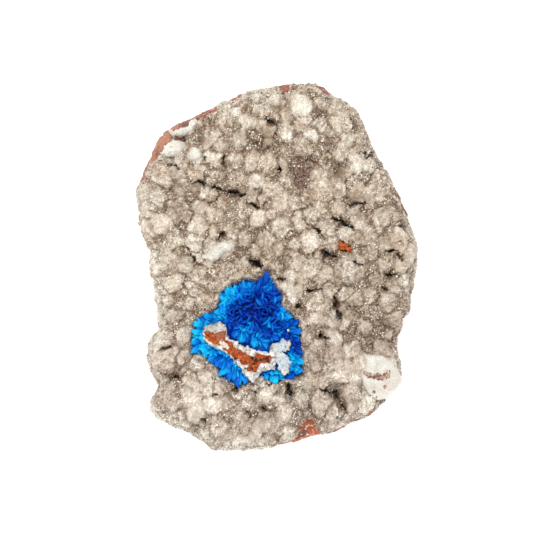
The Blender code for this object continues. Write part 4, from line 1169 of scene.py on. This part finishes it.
# Levels of the rim's blades, their thickness, how near the edge the smaller ones come, and by how
# much they turn aside.
RIM_ROOT = 22.0 * MM
RIM_TIP = 26.2 * MM
RIM_THICKNESS = 0.9 * MM
RIM_OVERHANG = -0.3 * MM
RIM_TURNS = (-0.65, -0.5, -0.36, -0.22, -0.1, 0.1, 0.22, 0.36, 0.5, 0.65)
SMALL_THICKNESS = 0.5 * MM

# The steep blades: where they stand, in pixels, how many they are, how high and how wide.
UPRIGHT_MIDDLE = (254, 311)
UPRIGHT_SPREAD = (36, 29)
UPRIGHT_COUNT = 260
UPRIGHT_TOP = 27.6 * MM
UPRIGHT_WIDTHS = (0.8 * MM, 2.8 * MM)
# The middles of the smaller fans that the steep blades make, and how wide a fan is.
FANS = [(244, 296), (266, 299), (229, 307), (250, 326), (262, 314), (278, 323), (265, 340), (240, 318)]
FAN_RADIUS = 13

# Places where the blue is brighter, as painted light: x, y, radius, strength.
LIT_BLUE_SPOTS = [
    (196, 330, 20, 0.95), (202, 352, 14, 0.95), (246, 283, 9, 0.62), (268, 280, 9, 0.55),
    (228, 290, 12, 0.8), (224, 297, 9, 0.95), (216, 311, 12, 0.85), (222, 356, 12, 0.7),
    (240, 374, 14, 0.72), (222, 375, 8, 0.75), (297, 364, 12, 0.85), (275, 377, 12, 0.85),
    (286, 314, 9, 0.68), (298, 330, 9, 0.55), (250, 322, 5, 0.65), (245, 334, 9, 0.66), (258, 343, 9, 0.75),
    (240, 340, 6, 0.8), (268, 326, 5, 0.75), (280, 334, 7, 0.6), (256, 304, 3, 0.5), (240, 292, 8, 0.5),
    (215, 350, 6, 0.8), (280, 300, 6, 0.5), (267, 346, 8, 0.7),
]


def blade(root, tip, width, thickness, side, slant, shoulder):
    """Corners and triangles of one flat spear-like crystal, its broad side along a direction."""
    axis = (tip - root) / np.linalg.norm(tip - root)
    broad = side - axis * side.dot(axis)
    broad /= np.linalg.norm(broad)
    flat = np.cross(axis, broad)
    corners = [root]
    for along, wide, thick in BLADE_STATIONS:
        middle = root + (tip - root) * along * shoulder
        for a, b in BLADE_SECTION:
            corners.append(middle + broad * (a * wide * width / 2) + flat * (b * thick * thickness / 2))
    corners.append(tip + broad * width * slant)
    faces = []
    sides = len(BLADE_SECTION)
    last = len(corners) - 1
    for i in range(sides):
        j = (i + 1) % sides
        faces.append((0, 1 + j, 1 + i))
        faces.append((last, last - sides + i, last - sides + j))
        for low in range(1, last - sides, sides):
            faces.append((low + i, low + j, low + sides + j))
            faces.append((low + i, low + sides + j, low + sides + i))
    return corners, faces


def rim_blades(rng):
    """The broad blades at the cluster's rim, each with smaller ones beside it that fan out a little."""
    made = []
    for x0, y0, x1, y1, width in RIM_BLADES:
        root = np.array([*plan(x0, y0), RIM_ROOT])
        tip = np.array([*plan(x1, y1), RIM_TIP - rng.uniform(0, 0.8) * MM])
        wide = width * PIXEL
        side = np.cross(tip - root, (0, 0, 1))
        side /= np.linalg.norm(side)
        made.append((root, tip, wide * 0.75, RIM_THICKNESS, side + directions(rng, 1)[0] * 0.3))
        for turn in RIM_TURNS:
            run = (tip - root) * rng.uniform(0.55, 0.98)
            climb = run[2] * rng.uniform(0.9, 1.5)
            turned = np.array([run[0] - turn * run[1], run[1] + turn * run[0], climb])
            across = side + directions(rng, 1)[0] * 0.8
            start = root - side * wide * turn - (0, 0, rng.uniform(0.3, 1.0) * MM)
            if inward(*(start + turned)[:2], CLUSTER_EDGE) > RIM_OVERHANG:
                size = wide * rng.uniform(0.25, 0.65)
                made.append((start, start + turned, size, SMALL_THICKNESS, across))
            start = start - turned * (0.45, 0.45, 0) + (0, 0, 0.5 * MM)
            size = wide * rng.uniform(0.3, 0.65)
            made.append((start, start + turned * 0.8, size, SMALL_THICKNESS, across))
    return made


def upright_blades(rng):
    """The steep blades inside the rim, in a loose spiral, each leaning out from the nearest fan."""
    made = []
    for i in range(UPRIGHT_COUNT):
        share = math.sqrt((i + 0.5) / UPRIGHT_COUNT)
        turn = i * GOLDEN_ANGLE
        px = UPRIGHT_MIDDLE[0] + math.cos(turn) * UPRIGHT_SPREAD[0] * share + rng.normal(0, 1.2)
        py = UPRIGHT_MIDDLE[1] + math.sin(turn) * UPRIGHT_SPREAD[1] * share + rng.normal(0, 1.2)
        if inside(px, py, RIND_OUTLINE) or inward(px, py, CLUSTER_OUTLINE) < 2:
            continue
        away, fan = min((math.dist(fan, (px, py)) / FAN_RADIUS, fan) for fan in FANS)
        drop = 1.2 * share**2 + 1.4 * min(away, 1) ** 2 + rng.uniform(0, 1.0)
        tip = np.array([*plan(px, py), UPRIGHT_TOP - drop * MM])
        foot = tip[:2] + (np.array(plan(*fan)) - tip[:2]) * 0.7 + rng.normal(0, 0.4 * MM, 2)
        root = np.array([*foot, CLUSTER_FLOOR])
        side = np.cross(tip - root, (0, 0, 1))
        across = side / max(np.linalg.norm(side), 1e-9) + directions(rng, 1)[0] * 0.9
        wide = rng.uniform(*UPRIGHT_WIDTHS)
        made.append((root, tip, wide, wide * 0.3, across))
    return made


def make_cavansite(finish):
    """The blue cluster: fans of blades on a low base, all in one piece."""
    rng = np.random.default_rng(SEED)
    base, base_faces = mound(CLUSTER_EDGE, CLUSTER_BASE, rough(1 * MM, 0.5 * MM, seed=4))
    shrunk = base * (BASE_SHRINK, BASE_SHRINK, 1) + (*np.array(plan(*BASE_MIDDLE)) * (1 - BASE_SHRINK), 0)
    corners = [shrunk]
    faces = [base_faces]
    # The base gets a little painted light, more at the bright places.
    blue_painted_light = [0.06 + 0.5 * spots(base[:, 0], base[:, 1], LIT_BLUE_SPOTS)]
    total = len(base)
    stations = np.repeat([along for along, wide, thick in BLADE_STATIONS], len(BLADE_SECTION))
    for root, tip, width, thickness, side in rim_blades(rng) + upright_blades(rng):
        shoulder = rng.uniform(*SHOULDERS)
        new, sides = blade(root, tip, width, thickness, side, rng.uniform(*SLANTS), shoulder)
        own = spots(tip[:1], tip[1:2], LIT_BLUE_SPOTS)[0] + rng.normal(0, 0.12) + 0.2
        along = np.concatenate([[0], stations, [1 / shoulder]])
        corners.append(new)
        faces.append(np.array(sides) + total)
        # Painted light along each blade: painted shade at its root, lighter towards its tip.
        blue_painted_light.append(own * (0.4 + 0.6 * along * shoulder))
        total += len(new)
    tones = {"blue_painted_light": np.concatenate(blue_painted_light)}
    made = make_object("cavansite_blades", np.vstack(corners), np.vstack(faces), tones)
    finish_piece(made, finish, "cavansite", "cavansite")


# The white rind, the chip in it and the cream chunk.

RIND = Section(22.3 * MM, 26.2 * MM, rounding=1.0 * MM)
GRAIN = Section(24 * MM, 27.4 * MM, rounding=0.3 * MM, pitch=0.15 * MM)
CHIP = Section(24.4 * MM, 26.8 * MM, rounding=0.5 * MM, pitch=0.22 * MM)
CHUNK = Section(10 * MM, 24.4 * MM, rounding=2.2 * MM, pitch=0.35 * MM, tilt=(0.3, -0.3))
# Marks on them: x, y, radius, strength.
GLASSY_SPOTS = [(281, 345, 8, 0.8), (284, 362, 9, 0.75), (270, 361, 5, 0.3)]
RIND_SPECKS = [
    (266, 357, 1.5, 0.9), (272, 358, 1.5, 1.0), (269, 363, 1.5, 0.8), (265, 367, 2, 0.9),
    (259, 368, 1.5, 0.8), (245, 367, 2, 0.9), (279, 345, 1.5, 0.6), (285, 346, 1.5, 0.7),
    (236, 362, 1.5, 0.8),
]
CAP_SPOTS = [(213, 326, 8, 0.9), (223, 328, 6, 0.6)]
CHIP_GREY_SPOTS = [(220.5, 334.5, 4, 0.8)]
CHIP_WHITE = [(222, 342, 3, 0.9), (225, 345, 3, 0.9), (228, 348, 2.5, 0.7), (250, 366, 1.5, 0.4)]
CHIP_SPECKS = [
    (252, 357, 2.5, 1.0), (256, 360, 2.8, 1.0), (262, 359, 2.5, 0.9), (267, 358, 2.5, 0.9),
    (254, 363, 2, 0.9), (252, 368, 2, 0.9), (256, 367, 1.2, 0.6), (235, 358, 1.8, 1.0),
    (259, 355, 1.2, 0.6), (262, 363, 1.2, 0.6), (268, 361, 1.5, 0.9), (242, 354, 1.2, 0.5),
    (248, 355, 1.0, 0.5),
]
CHUNK_BROWN = [
    (365, 373, 3, 0.9), (369, 375, 3.5, 1.1), (374, 376, 3.5, 0.9), (378, 376, 4, 1.1),
    (382, 377, 3.5, 1.0), (386, 375, 4, 1.0), (388, 372, 3, 0.8), (384.7, 386.5, 2, 1.1),
    (366, 392, 2, 1.1), (370, 396.5, 2, 1.1), (373.5, 391.5, 2, 1.1), (376.5, 397, 1.5, 1.0),
]


def make_rind():
    """The white rind round the narrow orange-red strip, and a loose white grain."""
    marks = {"glassy": GLASSY_SPOTS, "grey": CAP_SPOTS, "specks": RIND_SPECKS}
    make_mound("rind", RIND_OUTLINE, RIND, rough(0.8 * MM, 0.6 * MM, seed=5), rind_finish("white_zeolite"),
               "white_zeolite", marks, "chip_rind", fray=0.6 * MM)
    make_mound("white_grain", GRAIN_OUTLINE, GRAIN, rough(0.5 * MM, 0.2 * MM, seed=2),
               rind_finish("white_grain"), "white_zeolite", {})


def make_chip():
    """The narrow orange-red strip."""
    marks = {"grey": CHIP_GREY_SPOTS, "white": CHIP_WHITE, "specks": CHIP_SPECKS}
    make_mound("chip", CHIP_OUTLINE, CHIP, rough(0.9 * MM, 0.45 * MM, seed=6), chip_finish("orange_breccia"),
               "orange_breccia", marks, "breccia_chip", fray=0.5 * MM)


def make_chunk():
    """The smooth cream lump in the lower right corner."""
    make_mound("chunk", CHUNK_OUTLINE, CHUNK, rough(3.5 * MM, 0.9 * MM, seed=9),
               cream_finish("cream_zeolite"), "cream_zeolite", {"brown": CHUNK_BROWN}, "cream_chunk")


# Smooth white lumps that stand out of the crust: how round their edges are, in millimetres, and
# their outlines.

PALE_LUMPS = [
    (1.1, [(202, 256), (203, 260), (209, 261), (214, 261), (220, 258), (223, 254), (230, 253), (235, 246),
           (232, 241), (227, 241), (221, 243), (213, 248)]),
    (2.0, [(168, 130), (173, 137), (184, 137), (194, 132), (199, 124), (196, 117), (190, 121), (186, 127),
           (178, 130)]),
    (2.0, [(161, 153), (165, 146), (172, 141), (181, 141), (186, 146), (184, 154), (176, 156), (167, 157)]),
    (1.4, [(189, 152), (193, 148), (200, 150), (203, 156), (202, 162), (194, 163), (189, 159)]),
]
PALE_LUMP_PROUD = 0.9 * MM
PALE_LUMP_DEEP = 3.5 * MM


def make_pale_lumps(points):
    """Smooth lumps on outlines of their own, a little higher than the crust's points under them."""
    finish = cream_finish("pale_zeolite")
    for number, (rounding, outline) in enumerate(PALE_LUMPS):
        under = inside(points[:, 0], points[:, 1], plan_outline(outline))
        top = points[under, 2].max() + PALE_LUMP_PROUD
        make_mound(f"pale_lump_{number + 1}", outline, Section(top - PALE_LUMP_DEEP, top, rounding * MM),
                   rough(1.5 * MM, 0.5 * MM, seed=number + 20), finish, "zeolite", {}, fray=0.5 * MM)


# The stage.

FACE_HEIGHT = 20.0 * MM
CAMERA_HEIGHT = 1.2
SENSOR = 36.0
FLOOR_HALF = 3.0
FLOOR_LEVEL = -0.2 * MM
FLOOR_GREY = (0.9, 0.9, 0.9)
FLOOR_GLOW = 0.42
SURROUND = 0.9
WHITE = (1, 1, 1)


def make_camera():
    """A long lens that looks straight down on the crystal face, framed as the photograph is."""
    data = bpy.data.cameras.new("camera")
    made = bpy.data.objects.new("camera", data)
    x, y = plan(PICTURE_SIDE / 2, PICTURE_SIDE / 2)
    made.location = (x, y, FACE_HEIGHT + CAMERA_HEIGHT)
    data.sensor_width = SENSOR
    data.lens = SENSOR * CAMERA_HEIGHT / (PICTURE_SIDE * PIXEL)
    data.clip_start = 0.05
    data.clip_end = 20
    bpy.context.scene.collection.objects.link(made)
    bpy.context.scene.camera = made


def make_floor():
    """A plain pale floor that glows a little."""
    points = [(x * FLOOR_HALF, y * FLOOR_HALF, FLOOR_LEVEL) for x, y in ((-1, -1), (1, -1), (1, 1), (-1, 1))]
    made = make_object("floor", points, [(0, 1, 2, 3)])
    paint = Paint("floor", 0.9, FLOOR_GREY)
    paint.put(paint.shader["Emission Color"], WHITE)
    paint.put(paint.shader["Emission Strength"], FLOOR_GLOW)
    made.data.materials.append(paint.finished())


def area_light(name, place, size, power):
    """A square light that faces the specimen."""
    data = bpy.data.lights.new(name, "AREA")
    data.shape = "SQUARE"
    data.size = size
    data.energy = power
    made = bpy.data.objects.new(name, data)
    made.location = place
    made.rotation_euler = (-Vector(place)).to_track_quat("-Z", "Y").to_euler()
    bpy.context.scene.collection.objects.link(made)


def make_light():
    """A bright even surround, and a soft light from the photograph's top, a little to the left."""
    world = bpy.data.worlds.new("surround")
    bpy.context.scene.world = world
    world.use_nodes = True
    background = world.node_tree.nodes["Background"].inputs
    background["Color"].default_value = (*WHITE, 1)
    background["Strength"].default_value = SURROUND
    area_light("key", (-0.15, 0.5, 1.1), 0.4, 7.6)
    area_light("fill", (0.1, -0.8, 0.5), 0.6, 2.0)
    bpy.context.scene.view_settings.view_transform = "Standard"


def main():
    make_camera()
    make_floor()
    make_light()
    rng = np.random.default_rng(SEED + 1)
    surface = make_crust(druse_finish("zeolite", 0.55, CRUST_VALLEY_BROWN_AND_SHADE))
    sugar = druse_finish("zeolite_crystals", 0.25, CRYSTAL_VALLEY_BROWN_AND_SHADE)
    for number in range(CRYSTAL_PIECES):
        make_crystals(f"druse_crystals_{number + 1}", surface, sugar, rng, CRYSTALS_PER_PIECE)
    make_pale_lumps(surface[0])
    make_matrix(rock_finish("breccia"))
    make_cavansite(blue_finish("cavansite"))
    make_rind()
    make_chip()
    make_chunk()


main()
